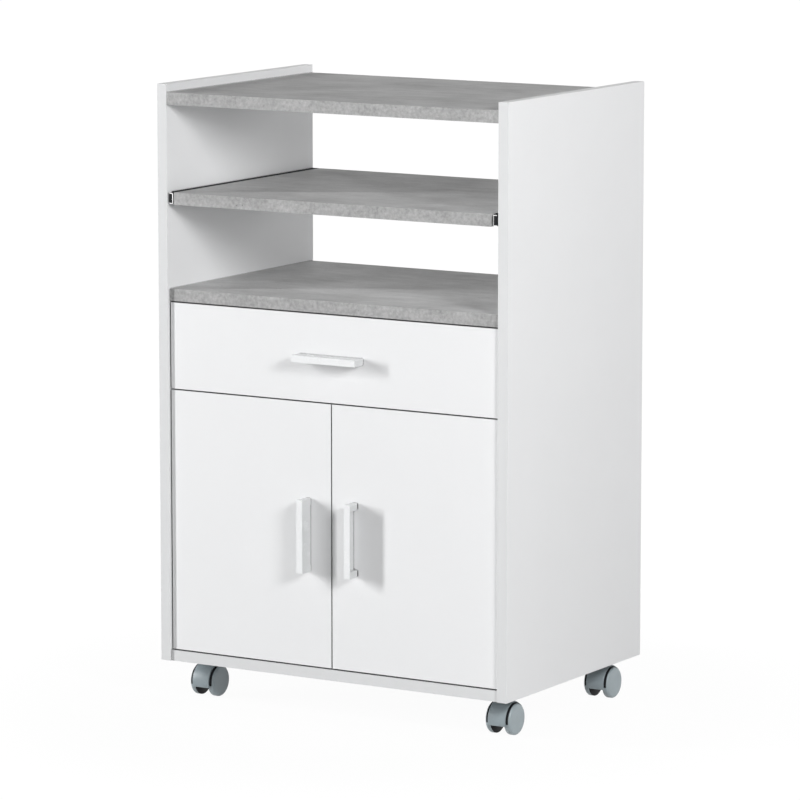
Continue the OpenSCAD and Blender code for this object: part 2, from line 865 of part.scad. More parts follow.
// Handle lying along X on the plane y = 0, closed on top and open below
module handle() {
    difference() {
        union() {
            translate([-handle_l / 2, -handle_d, -handle_w / 2]) cube([handle_l, handle_bar_t, handle_w]);
            translate([-handle_l / 2, -handle_d, handle_w / 2 - handle_web_t])
                cube([handle_l, handle_d - handle_web_gap, handle_web_t]);
            for (x = [-handle_l / 2, handle_l / 2 - handle_post_t])
                translate([x, 0, 0]) rotate([90, 0, 90]) linear_extrude(handle_post_t) post_profile();
        }
        handle_screw_places() translate([0, 0, -cut])
            cylinder(d = handle_screw_d + 2 * fit_play, h = handle_screw_in + fit_play + cut);
    }
}

module drawer_handle() {
    color("white") translate([0, face_y, drawer_handle_z]) handle();
}

module drawer_handle_screws() {
    color("silver") translate([0, face_back_y, drawer_handle_z]) handle_screw_places() handle_screw();
}

// Place on the left door, with the handle upright and closed towards the middle
module left_handle_place(y) {
    translate([-door_handle_x, y, door_handle_z]) rotate([0, 90, 0]) children();
}

module door_handle_left() {
    color("white") left_handle_place(face_y) handle();
}

module door_handle_right() {
    color("white") mirror([1, 0, 0]) left_handle_place(face_y) handle();
}

module door_handle_screws_left() {
    color("silver") left_handle_place(face_back_y) handle_screw_places() handle_screw();
}

module door_handle_screws_right() {
    mirror([1, 0, 0]) door_handle_screws_left();
}

// ---------------------------------------------------------------- doors and hinges

module door() {
    difference() {
        translate([-half_in + door_edge, face_y, door_z]) cube([door_w, board_t, door_h]);
        left_handle_place(face_back_y) handle_screw_places() handle_screw_hole(board_t + cut);
        left_side() for (z = hinge_zs) {
            translate([cup_x, face_back_y + cut, z]) rotate([90, 0, 0])
                cylinder(d = cup_d + 2 * fit_play, h = cup_depth + fit_play + cut);
            cup_screw_places(z) screw_hole(screw_len - cup_flange_t);
        }
    }
}

module door_left() {
    color("white") door();
}

module door_right() {
    color("white") mirror([1, 0, 0]) door();
}

// Screw axes of one cup, pointing forward into the door from its back
module cup_screw_places(z) {
    for (s = [-1, 1])
        translate([cup_x + cup_screw_off, face_back_y, z + s * cup_screw_pitch / 2])
            rotate([90, 0, 0]) children();
}

// Cup with its flange and its cross pin
module hinge_cup(z) {
    inner_d = cup_d - 2 * cup_wall;
    pin_off = cup_in - pivot_in;
    pin_len = 2 * sqrt(pow(cup_d / 2 - cup_wall / 2, 2) - pow(pin_off, 2));
    flange_w = 2 * (cup_screw_off + screw_head_d);
    difference() {
        union() {
            translate([cup_x, face_back_y, z]) rotate([90, 0, 0]) cylinder(d = cup_d, h = cup_depth);
            translate([cup_x, face_back_y + cup_flange_t, z]) rotate([90, 0, 0])
                cylinder(d = cup_d + 2 * cup_rim, h = cup_flange_t);
            translate([cup_x - screw_head_d / 2, face_back_y, z - cup_flange_h / 2])
                cube([flange_w - screw_head_d, cup_flange_t, cup_flange_h]);
        }
        translate([cup_x, face_back_y + cup_flange_t + cut, z]) rotate([90, 0, 0])
            cylinder(d = inner_d, h = cup_depth + cup_flange_t + cut - cup_wall);
        cup_screw_places(z) translate([0, 0, -cup_flange_t - cut])
            cylinder(d = screw_d + 2 * fit_play, h = cup_flange_t + 2 * cut);
    }
    translate([pivot_x, face_y + pivot_y, z - pin_len / 2]) cylinder(d = pivot_d, h = pin_len);
}

module hinge_cups() {
    color("silver") for (z = hinge_zs) hinge_cup(z);
}

module hinge_cups_left() {
    left_side() hinge_cups();
}

module hinge_cups_right() {
    right_side() hinge_cups();
}

module cup_screws() {
    color("silver") for (z = hinge_zs)
        cup_screw_places(z) translate([0, 0, -cup_flange_t]) wood_screw(screw_len);
}

module hinge_cup_screws_left() {
    left_side() cup_screws();
}

module hinge_cup_screws_right() {
    right_side() cup_screws();
}

// Straight stretch of the arm's side view, with a round end at its start
module arm_stretch(from, to) {
    step = to - from;
    translate(from) {
        circle(d = arm_t);
        rotate(atan2(step[1], step[0])) translate([0, -arm_t / 2]) square([norm(step), arm_t]);
    }
}

// Cranked arm seen from above: knuckle, sloping neck, cross part, bar on the plate
module arm_profile() {
    bar_x = mount_t + arm_t / 2;
    elbow = [pivot_x + arm_neck * cos(arm_angle), pivot_y + arm_neck * sin(arm_angle)];
    corner = [elbow[0] - arm_t, arm_y];
    difference() {
        union() {
            translate([pivot_x, pivot_y]) circle(r = pivot_d / 2 + pivot_play + knuckle_wall);
            arm_stretch([pivot_x, pivot_y], elbow);
            arm_stretch(elbow, corner);
            arm_stretch(corner, [bar_x, arm_y]);
            arm_stretch([bar_x, arm_y], [bar_x, arm_back]);
        }
        translate([pivot_x, pivot_y]) circle(r = pivot_d / 2 + pivot_play);
    }
}

module hinge_arms() {
    color("silver") for (z = hinge_zs)
        translate([0, face_y, z - arm_w / 2]) linear_extrude(arm_w) arm_profile();
}

module hinge_arms_left() {
    left_side() hinge_arms();
}

module hinge_arms_right() {
    right_side() hinge_arms();
}

// Mounting plate: a block under the arm and two screwed wings
module hinge_plates() {
    color("silver") both_sides() for (z = hinge_zs) difference() {
        union() {
            translate([0, mount_y, z - arm_w / 2]) cube([mount_t, mount_len, arm_w]);
            translate([0, mount_screw_y - arm_w / 2, z - mount_h / 2]) cube([mount_wing_t, arm_w, mount_h]);
        }
        for (s = [-1, 1])
            translate([-cut, mount_screw_y, z + s * mount_pitch / 2]) inwards()
                cylinder(d = screw_d + 2 * fit_play, h = mount_wing_t + 2 * cut);
    }
}

module stop_screw_places() {
    for (s = [-1, 1])
        translate([s * stop_w / 4, face_back_y + stop_play + stop_d / 2, rail_z - stop_h]) children();
}

module door_stop() {
    color("white") difference() {
        translate([-stop_w / 2, face_back_y + stop_play, rail_z - stop_h]) cube([stop_w, stop_d, stop_h]);
        stop_screw_places() {
            translate([0, 0, -cut]) cylinder(d = screw_d + 2 * fit_play, h = stop_h + 2 * cut);
            translate([0, 0, -cut]) cylinder(d = screw_head_d + 2 * fit_play, h = stop_h / 2 + cut);
        }
    }
}

// ---------------------------------------------------------------- casters

module caster_places() {
    for (sx = [-1, 1]) for (y = [caster_front_y, caster_back_y])
        translate([sx * caster_x, y, 0]) children();
}

module plate_screw_places() {
    for (sx = [-1, 1]) for (sy = [-1, 1])
        translate([sx * plate_pitch / 2, sy * plate_pitch / 2, 0]) children();
}

module caster_plates() {
    color("silver") caster_places() difference() {
        union() {
            translate([-plate_w / 2, -plate_w / 2, caster_h - plate_t]) cube([plate_w, plate_w, plate_t]);
            translate([0, 0, socket_z]) cylinder(d = socket_d, h = socket_h + plate_t / 2);
        }
        translate([0, 0, socket_z - cut]) cylinder(d = stem_d + 2 * spin_play, h = socket_h + cut);
        plate_screw_places() translate([0, 0, caster_h - plate_t - cut])
            cylinder(d = screw_d + 2 * fit_play, h = plate_t + 2 * cut);
    }
}

module caster_screws() {
    color("silver") caster_places() plate_screw_places()
        translate([0, 0, caster_h - plate_t]) wood_screw(screw_len);
}

// Side view of the hood round the axle, cut off level below its front edge
module hood_profile(outer, inner) {
    difference() {
        circle(r = outer);
        circle(r = inner);
        translate([-outer - cut, -outer - cut]) square([2 * (outer + cut), outer + cut - hood_drop]);
        translate([0, -outer - cut]) square([outer + cut, outer + cut + wheel_r / 2]);
    }
}

// A plate in the side view, x towards the back and y up, spread over a width
module across(width) {
    rotate([90, 0, 90]) translate([0, 0, -width / 2]) linear_extrude(width) children();
}

module caster_fork() {
    difference() {
        union() {
            translate([0, -trail, wheel_r]) {
                across(hood_w) hood_profile(hood_r + hood_t, hood_r);
                across(core_w) hood_profile(hood_r + hood_t / 2, axle_d);
                across(core_w) circle(d = 3 * axle_d);
            }
            translate([0, 0, neck_z]) cylinder(d = neck_d, h = neck_top - neck_z);
            translate([0, 0, neck_top - cut])
                cylinder(d = stem_d, h = socket_h + cut);
        }
        translate([0, -trail, wheel_r]) across(wheels_w) circle(d = axle_d + 2 * spin_play);
        translate([0, -trail, wheel_r]) for (s = [-1, 1])
            translate([s * wheels_w / 2, 0, 0]) across(wheels_w - core_w) circle(r = hood_r);
    }
}

// One wheel against x = 0, its rounded rim outwards
module wheel() {
    rotate([0, 90, 0]) rotate_extrude() difference() {
        square([wheel_r, wheel_w]);
        translate([wheel_r - wheel_round, wheel_w - wheel_round]) difference() {
            square([wheel_round + cut, wheel_round + cut]);
            circle(r = wheel_round);
        }
    }
}

module caster_wheels() {
    inner = wheels_w / 2 - wheel_w;
    translate([0, -trail, wheel_r]) {
        for (s = [0, 1]) mirror([s, 0, 0]) translate([inner, 0, 0]) wheel();
        rotate([0, 90, 0]) cylinder(d = axle_d, h = 2 * inner, center = true);
    }
}

module caster_fork_front_left() {
    color("slategray") translate([-caster_x, caster_front_y, 0]) caster_fork();
}

module caster_fork_front_right() {
    color("slategray") translate([caster_x, caster_front_y, 0]) caster_fork();
}

module caster_fork_back_left() {
    color("slategray") translate([-caster_x, caster_back_y, 0]) caster_fork();
}

module caster_fork_back_right() {
    color("slategray") translate([caster_x, caster_back_y, 0]) caster_fork();
}

module caster_wheels_front_left() {
    color("lightslategray") translate([-caster_x, caster_front_y, 0]) caster_wheels();
}

module caster_wheels_front_right() {
    color("lightslategray") translate([caster_x, caster_front_y, 0]) caster_wheels();
}

module caster_wheels_back_left() {
    color("lightslategray") translate([-caster_x, caster_back_y, 0]) caster_wheels();
}

module caster_wheels_back_right() {
    color("lightslategray") translate([caster_x, caster_back_y, 0]) caster_wheels();
}

side_panel_left();
side_panel_right();
top_shelf();
fixed_shelf();
bottom_panel();
front_rail();
back_panel();
inner_shelf();
shelf_pins();
dowels();
cam_locks();
cam_bolts();
back_screws();
cabinet_screws();
door_stop();
pull_out_shelf();
shelf_rail_left();
shelf_rail_right();
shelf_runner_left();
shelf_runner_right();
shelf_ball_cages();
shelf_bumpers();
shelf_screws();
drawer_front();
drawer_side_left();
drawer_side_right();
drawer_back();
drawer_bottom();
drawer_dowels();
drawer_screws();
drawer_handle();
drawer_handle_screws();
drawer_rail_left();
drawer_rail_right();
drawer_runner_left();
drawer_runner_right();
drawer_ball_cages();
door_left();
door_right();
door_handle_left();
door_handle_right();
door_handle_screws_left();
door_handle_screws_right();
hinge_cups_left();
hinge_cups_right();
hinge_arms_left();
hinge_arms_right();
hinge_plates();
hinge_cup_screws_left();
hinge_cup_screws_right();
caster_plates();
caster_screws();
caster_fork_front_left();
caster_fork_front_right();
caster_fork_back_left();
caster_fork_back_right();
caster_wheels_front_left();
caster_wheels_front_right();
caster_wheels_back_left();
caster_wheels_back_right();
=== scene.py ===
import math
import bmesh
import bpy
import numpy as np
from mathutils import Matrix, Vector


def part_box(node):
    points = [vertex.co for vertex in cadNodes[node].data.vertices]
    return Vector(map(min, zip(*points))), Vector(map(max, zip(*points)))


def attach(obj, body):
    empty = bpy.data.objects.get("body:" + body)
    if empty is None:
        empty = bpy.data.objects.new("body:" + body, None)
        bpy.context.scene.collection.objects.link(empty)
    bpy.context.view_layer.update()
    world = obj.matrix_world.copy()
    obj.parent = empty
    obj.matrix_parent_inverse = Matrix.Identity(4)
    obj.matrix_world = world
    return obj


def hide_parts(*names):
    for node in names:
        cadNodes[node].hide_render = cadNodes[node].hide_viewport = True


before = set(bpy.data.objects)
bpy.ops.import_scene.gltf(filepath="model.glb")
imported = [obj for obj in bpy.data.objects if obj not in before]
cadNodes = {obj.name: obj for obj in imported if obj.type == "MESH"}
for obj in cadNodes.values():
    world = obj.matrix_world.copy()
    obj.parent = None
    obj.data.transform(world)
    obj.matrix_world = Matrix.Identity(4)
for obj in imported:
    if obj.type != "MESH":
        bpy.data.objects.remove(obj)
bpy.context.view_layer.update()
mm = 0.001
xAxis, yAxis, zAxis = 0, 1, 2
sides = ("left", "right")
corners = ("front_left", "front_right", "back_left", "back_right")
print("frame loaded:", len(cadNodes), "nodes")


view = {
    "place": (3.5967, -5.9490, 1.5198),  # metres
    "turn": 31.133,  # degrees to the right of the front
    "tilt": 8.756,  # degrees downwards
    "lens": 214.8,  # mm
    "sensor": 36,  # mm
    "far": 60,  # metres
}


def addCamera():
    data = bpy.data.cameras.new("camera")
    data.sensor_width = view["sensor"]
    data.lens = view["lens"]
    data.clip_end = view["far"]
    camera = bpy.data.objects.new("camera", data)
    camera.location = view["place"]
    camera.rotation_euler = (math.radians(90 - view["tilt"]), 0, math.radians(view["turn"]))
    bpy.context.scene.collection.objects.link(camera)
    bpy.context.scene.camera = camera


def feed(tree, socket, value):
    # a link from another node's socket, or a plain value
    if isinstance(value, bpy.types.NodeSocket):
        tree.links.new(value, socket)
    else:
        socket.default_value = value


def addNode(tree, kind, inputs=None, **settings):
    node = tree.nodes.new("ShaderNode" + kind)
    for name, value in settings.items():
        setattr(node, name, value)
    for name, value in (inputs or {}).items():
        feed(tree, node.inputs[name], value)
    return node


def newGroup(name, inputs, outputs):
    tree = bpy.data.node_groups.new(name, "ShaderNodeTree")
    for label, kind, value in inputs:
        socket = tree.interface.new_socket(label, in_out="INPUT", socket_type=kind)
        if value is not None:
            socket.default_value = value
    for label, kind in outputs:
        tree.interface.new_socket(label, in_out="OUTPUT", socket_type=kind)
    start = tree.nodes.new("NodeGroupInput")
    end = tree.nodes.new("NodeGroupOutput")
    return tree, start.outputs, end.inputs


def mixValue(tree, factor, low, high):
    # a Mix node's values are its inputs 2 and 3
    return addNode(tree, "Mix", {0: factor, 2: low, 3: high}).outputs[0]


def mixColour(tree, factor, low, high):
    # a Mix node's colours are its inputs 6 and 7 and its output 2
    return addNode(tree, "Mix", {0: factor, 6: low, 7: high}, data_type="RGBA").outputs[2]


def stretched(tree, value, low, high):
    # low..high stretched to 0..1
    return addNode(tree, "MapRange", {"Value": value, "From Min": low, "From Max": high}).outputs[0]


def spread(tree, value, low, high):
    # 0..1 laid over low..high
    return addNode(tree, "MapRange", {"Value": value, "To Min": low, "To Max": high}).outputs[0]


def noise(tree, vector, scale, detail, roughness=0.5):
    return addNode(tree, "TexNoise", {
        "Vector": vector, "Scale": scale, "Detail": detail, "Roughness": roughness}).outputs


def product(tree, first, second):
    return addNode(tree, "Math", {0: first, 1: second}, operation="MULTIPLY").outputs[0]


def makeCloudGroup():
    # soft patches plus fine grain: two noises mixed and stretched to 0..1
    tree, take, give = newGroup("cloudyTone", [
        ("Vector", "NodeSocketVector", None), ("Patch Scale", "NodeSocketFloat", 8.0),
        ("Grain Scale", "NodeSocketFloat", 300.0), ("Grain Share", "NodeSocketFloat", 0.3),
    ], [("Tone", "NodeSocketFloat")])
    patch = noise(tree, take["Vector"], take["Patch Scale"], 5.0, 0.6)["Fac"]
    grain = noise(tree, take["Vector"], take["Grain Scale"], 2.0)["Fac"]
    mixed = mixValue(tree, take["Grain Share"], patch, grain)
    feed(tree, give["Tone"], stretched(tree, mixed, 0.32, 0.68))
    return tree


def makeConcreteGroup():
    # trowelled concrete print: clouds, stretched streaks, sand grain and small dark pores
    tree, take, give = newGroup("concretePrint", [
        ("Vector", "NodeSocketVector", None), ("Cloud Scale", "NodeSocketFloat", 7.0),
        ("Sand Scale", "NodeSocketFloat", 260.0), ("Sand Share", "NodeSocketFloat", 0.25),
    ], [("Tone", "NodeSocketFloat"), ("Pores", "NodeSocketFloat")])
    bent = noise(tree, take["Vector"], 5.0, 3.0, 0.6)["Color"]
    shift = addNode(tree, "VectorMath", {0: bent, "Scale": 0.05}, operation="SCALE").outputs[0]
    moved = addNode(tree, "VectorMath", {0: take["Vector"], 1: shift}, operation="ADD").outputs[0]
    clouds = noise(tree, moved, take["Cloud Scale"], 7.0, 0.62)["Fac"]
    long = addNode(tree, "Mapping", {
        "Vector": moved, "Rotation": (0, 0, 0.35), "Scale": (1.0, 3.2, 3.2)}).outputs[0]
    streaks = noise(tree, long, 14.0, 6.0, 0.68)["Fac"]
    sand = noise(tree, take["Vector"], take["Sand Scale"], 3.0, 0.7)["Fac"]
    mixed = mixValue(tree, take["Sand Share"], mixValue(tree, 0.42, clouds, streaks), sand)
    feed(tree, give["Tone"], stretched(tree, mixed, 0.36, 0.64))
    cells = addNode(tree, "TexVoronoi", {"Vector": moved, "Scale": 95.0})
    holes = stretched(tree, cells.outputs["Distance"], 0.16, 0.05)
    few = stretched(tree, noise(tree, take["Vector"], 22.0, 2.0)["Fac"], 0.52, 0.66)
    feed(tree, give["Pores"], product(tree, holes, few))
    return tree


def makeLineGroup():
    # fine lines, as rolling leaves them in steel strip
    tree, take, give = newGroup("rolledLines", [
        ("Vector", "NodeSocketVector", None), ("Line Scale", "NodeSocketFloat", 900.0),
        ("Stretch", "NodeSocketVector", (1.0, 0.02, 1.0)),
    ], [("Lines", "NodeSocketFloat")])
    long = addNode(tree, "VectorMath", {0: take["Vector"], 1: take["Stretch"]}, operation="MULTIPLY")
    lines = noise(tree, long.outputs[0], take["Line Scale"], 3.0, 0.6)["Fac"]
    feed(tree, give["Lines"], stretched(tree, lines, 0.3, 0.7))
    return tree


def makePaintedSeamShadeGroup():
    # 1 on open faces, 0 in narrow seams between boards: a mask for painted shade where nearby parts would
    # shade a face
    tree, take, give = newGroup("seamShade", [
        ("Reach", "NodeSocketFloat", 0.004), ("Closed", "NodeSocketFloat", 0.35),
        ("Open", "NodeSocketFloat", 0.75),
    ], [("Mask", "NodeSocketFloat")])
    near = addNode(tree, "AmbientOcclusion", {"Distance": take["Reach"]}, samples=8)
    feed(tree, give["Mask"], stretched(tree, near.outputs["AO"], take["Closed"], take["Open"]))
    return tree


cloudGroup = makeCloudGroup()
concreteGroup = makeConcreteGroup()
lineGroup = makeLineGroup()
paintedSeamShadeGroup = makePaintedSeamShadeGroup()


def addGroup(tree, group, inputs):
    return addNode(tree, "Group", inputs, node_tree=group).outputs


def emptyTree(owner):
    # the cleared node tree of a material or a world
    owner.use_nodes = True
    owner.node_tree.nodes.clear()
    return owner.node_tree


def startMaterial(name, metallic=0.0, coat=0.0, shine=0.5):
    material = bpy.data.materials.new(name)
    tree = emptyTree(material)
    shader = addNode(tree, "BsdfPrincipled", {
        "Metallic": metallic, "Coat Weight": coat, "Specular IOR Level": shine})
    addNode(tree, "OutputMaterial", {"Surface": shader.outputs[0]})
    place = addNode(tree, "TexCoord")
    return material, tree, shader, place.outputs["Object"]


def endMaterial(tree, shader, colour, roughness, height, look):
    # what every finish ends with: its colour, its gloss and a fine relief
    bump = addNode(tree, "Bump", {"Strength": look["bump"], "Distance": look["depth"], "Height": height})
    feed(tree, shader.inputs["Base Color"], colour)
    feed(tree, shader.inputs["Roughness"], roughness)
    feed(tree, shader.inputs["Normal"], bump.outputs[0])


def tinted(colour, factor):
    return tuple(min(1.0, c * factor) for c in colour) + (1.0,)


def cloudTone(tree, place, look):
    return addGroup(tree, cloudGroup, {
        "Vector": place, "Patch Scale": look["patch"], "Grain Scale": look["grain"],
        "Grain Share": look["share"]})["Tone"]


def plainFinish(name, look):
    # painted, moulded or laminated surface: cloudy tone, uneven gloss and a fine skin
    coat, shine = look.get("coat", 0.0), look.get("shine", 0.5)
    material, tree, shader, place = startMaterial(name, coat=coat, shine=shine)
    tone = cloudTone(tree, place, look)
    colour = mixColour(tree, tone, tinted(look["colour"], 1 - look["spread"]),
                       tinted(look["colour"], 1 + look["spread"]))
    # painted shade: the colour is darkened in narrow seams and corners, where nearby parts would cast shade
    if "seam" in look:
        mask = addGroup(tree, paintedSeamShadeGroup, {"Reach": look["seam"]})["Mask"]
        colour = mixColour(tree, mask, tinted(look["colour"], look["seamShade"]), colour)
    skin = noise(tree, place, look["skin"], 2.0)["Fac"]
    endMaterial(tree, shader, colour, spread(tree, tone, *look["gloss"]), skin, look)
    return material


def steelFinish(name, look):
    # steel with rolled lines and cloudy gloss
    material, tree, shader, place = startMaterial(name, look["metallic"], shine=look["shine"])
    lines = addGroup(tree, lineGroup, {
        "Vector": place, "Line Scale": look["lines"], "Stretch": look["stretch"]})["Lines"]
    tone = cloudTone(tree, place, look)
    colour = mixColour(tree, product(tree, lines, tone), tinted(look["colour"], look["dark"]),
                       tinted(look["colour"], look["light"]))
    endMaterial(tree, shader, colour, spread(tree, tone, *look["gloss"]), lines, look)
    return material


def concreteFinish(name, look):
    # concrete print from dark to light, with pores that are darker and lower
    material, tree, shader, place = startMaterial(name, shine=look["shine"])
    pattern = addGroup(tree, concreteGroup, {
        "Vector": place, "Cloud Scale": look["clouds"], "Sand Scale": look["sand"],
        "Sand Share": look["sandShare"]})
    tone, pores = pattern["Tone"], pattern["Pores"]
    colour = mixColour(tree, tone, tinted(look["dark"], 1), tinted(look["light"], 1))
    pored = mixColour(tree, pores, colour, tinted(look["dark"], look["poreShade"]))
    height = addNode(tree, "Math", {0: tone, 1: pores}, operation="SUBTRACT").outputs[0]
    endMaterial(tree, shader, pored, spread(tree, tone, *look["gloss"]), height, look)
    return material


def woodFinish(name, look):
    # plain wood, its fibres along the stretched axis
    material, tree, shader, place = startMaterial(name)
    long = addNode(tree, "Mapping", {"Vector": place, "Scale": look["stretch"]})
    tone = stretched(tree, noise(tree, long.outputs[0], look["fibres"], 6.0, 0.65)["Fac"], 0.35, 0.65)
    colour = mixColour(tree, tone, tinted(look["colour"], look["dark"]),
                       tinted(look["colour"], look["light"]))
    endMaterial(tree, shader, colour, spread(tree, tone, *look["gloss"]), tone, look)
    return material


whiteLook = {
    "colour": (0.845, 0.85, 0.858), "spread": 0.012, "gloss": (0.46, 0.36),
    "patch": 5.0, "grain": 420.0, "share": 0.3, "skin": 1500.0, "bump": 0.10, "depth": 0.00005,
    # reach and depth of the painted shade in seams and corners
    "seam": 0.0034, "seamShade": 0.08,
}
handleLook = {
    "colour": (0.88, 0.89, 0.90), "spread": 0.01, "gloss": (0.30, 0.22), "coat": 0.25,
    "patch": 30.0, "grain": 700.0, "share": 0.3, "skin": 1100.0, "bump": 0.05, "depth": 0.00004,
}
casterLook = {
    "colour": (0.287, 0.338, 0.362), "spread": 0.07, "gloss": (0.46, 0.34),
    "patch": 60.0, "grain": 1400.0, "share": 0.5, "skin": 1800.0, "bump": 0.25, "depth": 0.00006,
}
concreteLook = {
    # the faces' own concrete tone, painted lighter than the edge band's to stand in for light that the
    # shelf tops don't get
    "dark": (0.45, 0.45, 0.45), "light": (0.65, 0.65, 0.65), "poreShade": 0.72,
    "clouds": 9.0, "sand": 260.0, "sandShare": 0.15,
    "gloss": (0.62, 0.5), "shine": 0.1, "bump": 0.3, "depth": 0.00012,
}
steelLook = {
    "dark": 0.93, "light": 1.06, "metallic": 1.0, "shine": 0.5,
    "patch": 30.0, "grain": 500.0, "share": 0.35, "bump": 0.25, "depth": 0.00002,
}
finishes = {
    "white": plainFinish("whiteMelamine", whiteLook),
    "band": plainFinish("whiteEdgeBand", {
        **whiteLook, "colour": (0.72, 0.727, 0.733), "gloss": (0.36, 0.28), "skin": 900.0}),
    "concrete": concreteFinish("concreteLaminateWithPaintedLight", concreteLook),
    "concreteEdge": concreteFinish("concreteEdgeBand", {
        **concreteLook, "dark": (0.29, 0.29, 0.29), "light": (0.51, 0.51, 0.51), "clouds": 24.0,
        "sand": 190.0, "sandShare": 0.55}),
    "hardboard": plainFinish("whiteHardboard", {
        **whiteLook, "colour": (0.80, 0.80, 0.79), "gloss": (0.6, 0.5), "skin": 500.0, "bump": 0.2}),
    "handle": plainFinish("whiteHandle", handleLook),
    # painted shade: a darker copy of the handle white for the handles' sides, tops and ends, standing in
    # for the shade they get
    "handlePaintedShadeSide": plainFinish("whiteHandlePaintedShadeSide", {**handleLook, "colour": (0.63, 0.64, 0.645)}),
    "hood": plainFinish("casterNylon", casterLook),
    "wheel": plainFinish("wheelNylon", {**casterLook, "colour": (0.365, 0.422, 0.447)}),
    "black": plainFinish("blackPlastic", {
        **casterLook, "colour": (0.014, 0.015, 0.017), "spread": 0.2, "gloss": (0.5, 0.4),
        "shine": 0.1}),
    "slide": steelFinish("blackZincSteel", {
        **steelLook, "colour": (0.022, 0.022, 0.024), "gloss": (0.6, 0.45), "lines": 900.0,
        "stretch": (1.0, 0.02, 1.0), "metallic": 0.0, "shine": 0.01}),
    "cutSteel": steelFinish("cutSteelEnd", {
        **steelLook, "colour": (0.80, 0.80, 0.80), "gloss": (0.5, 0.4), "lines": 1500.0,
        "stretch": (1.0, 1.0, 0.1)}),
    "zinc": steelFinish("zincPlate", {
        **steelLook, "colour": (0.66, 0.67, 0.69), "gloss": (0.38, 0.24), "lines": 700.0,
        "stretch": (1.0, 1.0, 1.0)}),
    "nickel": steelFinish("nickelPlate", {
        **steelLook, "colour": (0.70, 0.69, 0.67), "gloss": (0.26, 0.14), "lines": 500.0,
        "stretch": (1.0, 1.0, 0.1)}),
    "beech": woodFinish("beechDowel", {
        "colour": (0.55, 0.36, 0.19), "dark": 0.78, "light": 1.1, "gloss": (0.7, 0.55),
        "stretch": (0.08, 1.0, 1.0), "fibres": 900.0, "bump": 0.4, "depth": 0.0001}),
}
print("materials:", len(finishes))


meshLook = {
    "merge": 1e-6,  # metres: nearer points become one
    "flat": 0.5,  # degrees: faces that differ less are joined in a copied node
    "copySharp": 35,  # degrees: sharper edges of a copied node are rounded
    "segments": 3,  # of a rounding
}


def gridFaces(rows, columns):
    # quads between the rows of a grid of points, each row closed to a ring
    i, j = np.meshgrid(np.arange(rows - 1), np.arange(columns), indexing="ij")
    down, along = i + 1, (j + 1) % columns
    quads = [i * columns + j, down * columns + j, down * columns + along, i * columns + along]
    return np.stack(quads, -1).reshape(-1, 4).tolist()


def joined(parts):
    # several (points, faces) as one
    points, faces, start = [], [], 0
    for partPoints, partFaces in parts:
        points.append(np.asarray(partPoints, float).reshape(-1, 3))
        faces += [[index + start for index in face] for face in partFaces]
        start += len(points[-1])
    return np.concatenate(points), faces


def addPiece(name, parts, finish, body, replaces=(), smooth=40):
    points, faces = joined(parts)
    mesh = bpy.data.meshes.new(name)
    mesh.from_pydata(points.tolist(), [], faces)
    work = bmesh.new()
    work.from_mesh(mesh)
    bmesh.ops.remove_doubles(work, verts=work.verts, dist=meshLook["merge"])
    bmesh.ops.recalc_face_normals(work, faces=work.faces)
    work.to_mesh(mesh)
    work.free()
    return finishPiece(name, mesh, finish, body, replaces, smooth)


def finishPiece(name, mesh, finish, body, replaces, smooth, bevel=0.0):
    # edges sharper than smooth degrees stay sharp, or are rounded where a bevel is given
    mesh.materials.clear()
    for key in ([finish] if isinstance(finish, str) else finish):
        mesh.materials.append(finishes[key])
    mesh.polygons.foreach_set("use_smooth", np.ones(len(mesh.polygons), bool))
    if not bevel:
        mesh.set_sharp_from_angle(angle=math.radians(smooth))
    piece = bpy.data.objects.new(name, mesh)
    bpy.context.scene.collection.objects.link(piece)
    if bevel:
        edge = piece.modifiers.new("roundedEdges", "BEVEL")
        edge.width = bevel
        edge.segments = meshLook["segments"]
        edge.limit_method = "ANGLE"
        edge.angle_limit = math.radians(smooth)
        even = piece.modifiers.new("flatFaces", "WEIGHTED_NORMAL")
        even.keep_sharp = True
    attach(piece, body)
    for node in ([replaces] if isinstance(replaces, str) else replaces):
        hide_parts(node)
    return piece


def mergedNode(node):
    # the CAD node's mesh with its loose triangles merged
    work = bmesh.new()
    work.from_mesh(cadNodes[node].data)
    bmesh.ops.remove_doubles(work, verts=work.verts, dist=meshLook["merge"])
    return work


def nodeCopy(node):
    # a new mesh of the CAD node, its flat faces joined
    work = mergedNode(node)
    bmesh.ops.dissolve_limit(work, angle_limit=math.radians(meshLook["flat"]), verts=work.verts,
                             edges=work.edges)
    mesh = bpy.data.meshes.new(node)
    work.to_mesh(mesh)
    work.free()
    return mesh


def faceRows(piece, what, axis):
    # one coordinate of each face's normal or center
    values = np.zeros(len(piece.data.polygons) * 3)
    piece.data.polygons.foreach_get(what, values)
    return values.reshape(-1, 3)[:, axis]


def paintFaces(piece, chosen):
    # second finish on the chosen faces
    piece.data.polygons.foreach_set("material_index", chosen.astype(np.int32))
    piece.data.update()


def roundedCopy(name, node, body, finish, bevel, flat=None):
    # a copy of a CAD node with rounded edges; faces across the flat axis get finish[0], the rest finish[1]
    piece = finishPiece(name, nodeCopy(node), finish, body, node, meshLook["copySharp"],
                        bevel)
    if flat is not None:
        paintFaces(piece, np.abs(faceRows(piece, "normal", flat)) <= 0.5)


def solidsOf(node):
    # corner points of each separate solid in a CAD node
    work = mergedNode(node)
    found, seen = [], set()
    for start in work.verts:
        if start in seen:
            continue
        seen.add(start)
        stack, points = [start], []
        while stack:
            vert = stack.pop()
            points.append(tuple(vert.co))
            for edge in vert.link_edges:
                other = edge.other_vert(vert)
                if other not in seen:
                    seen.add(other)
                    stack.append(other)
        found.append(np.array(points))
    work.free()
    return found


def arc(centre, radius, start, end, steps):
    # points on a circle from angle start to end, in degrees
    angle = np.radians(np.linspace(start, end, steps))
    return np.stack([centre[0] + radius * np.cos(angle), centre[1] + radius * np.sin(angle)], -1)


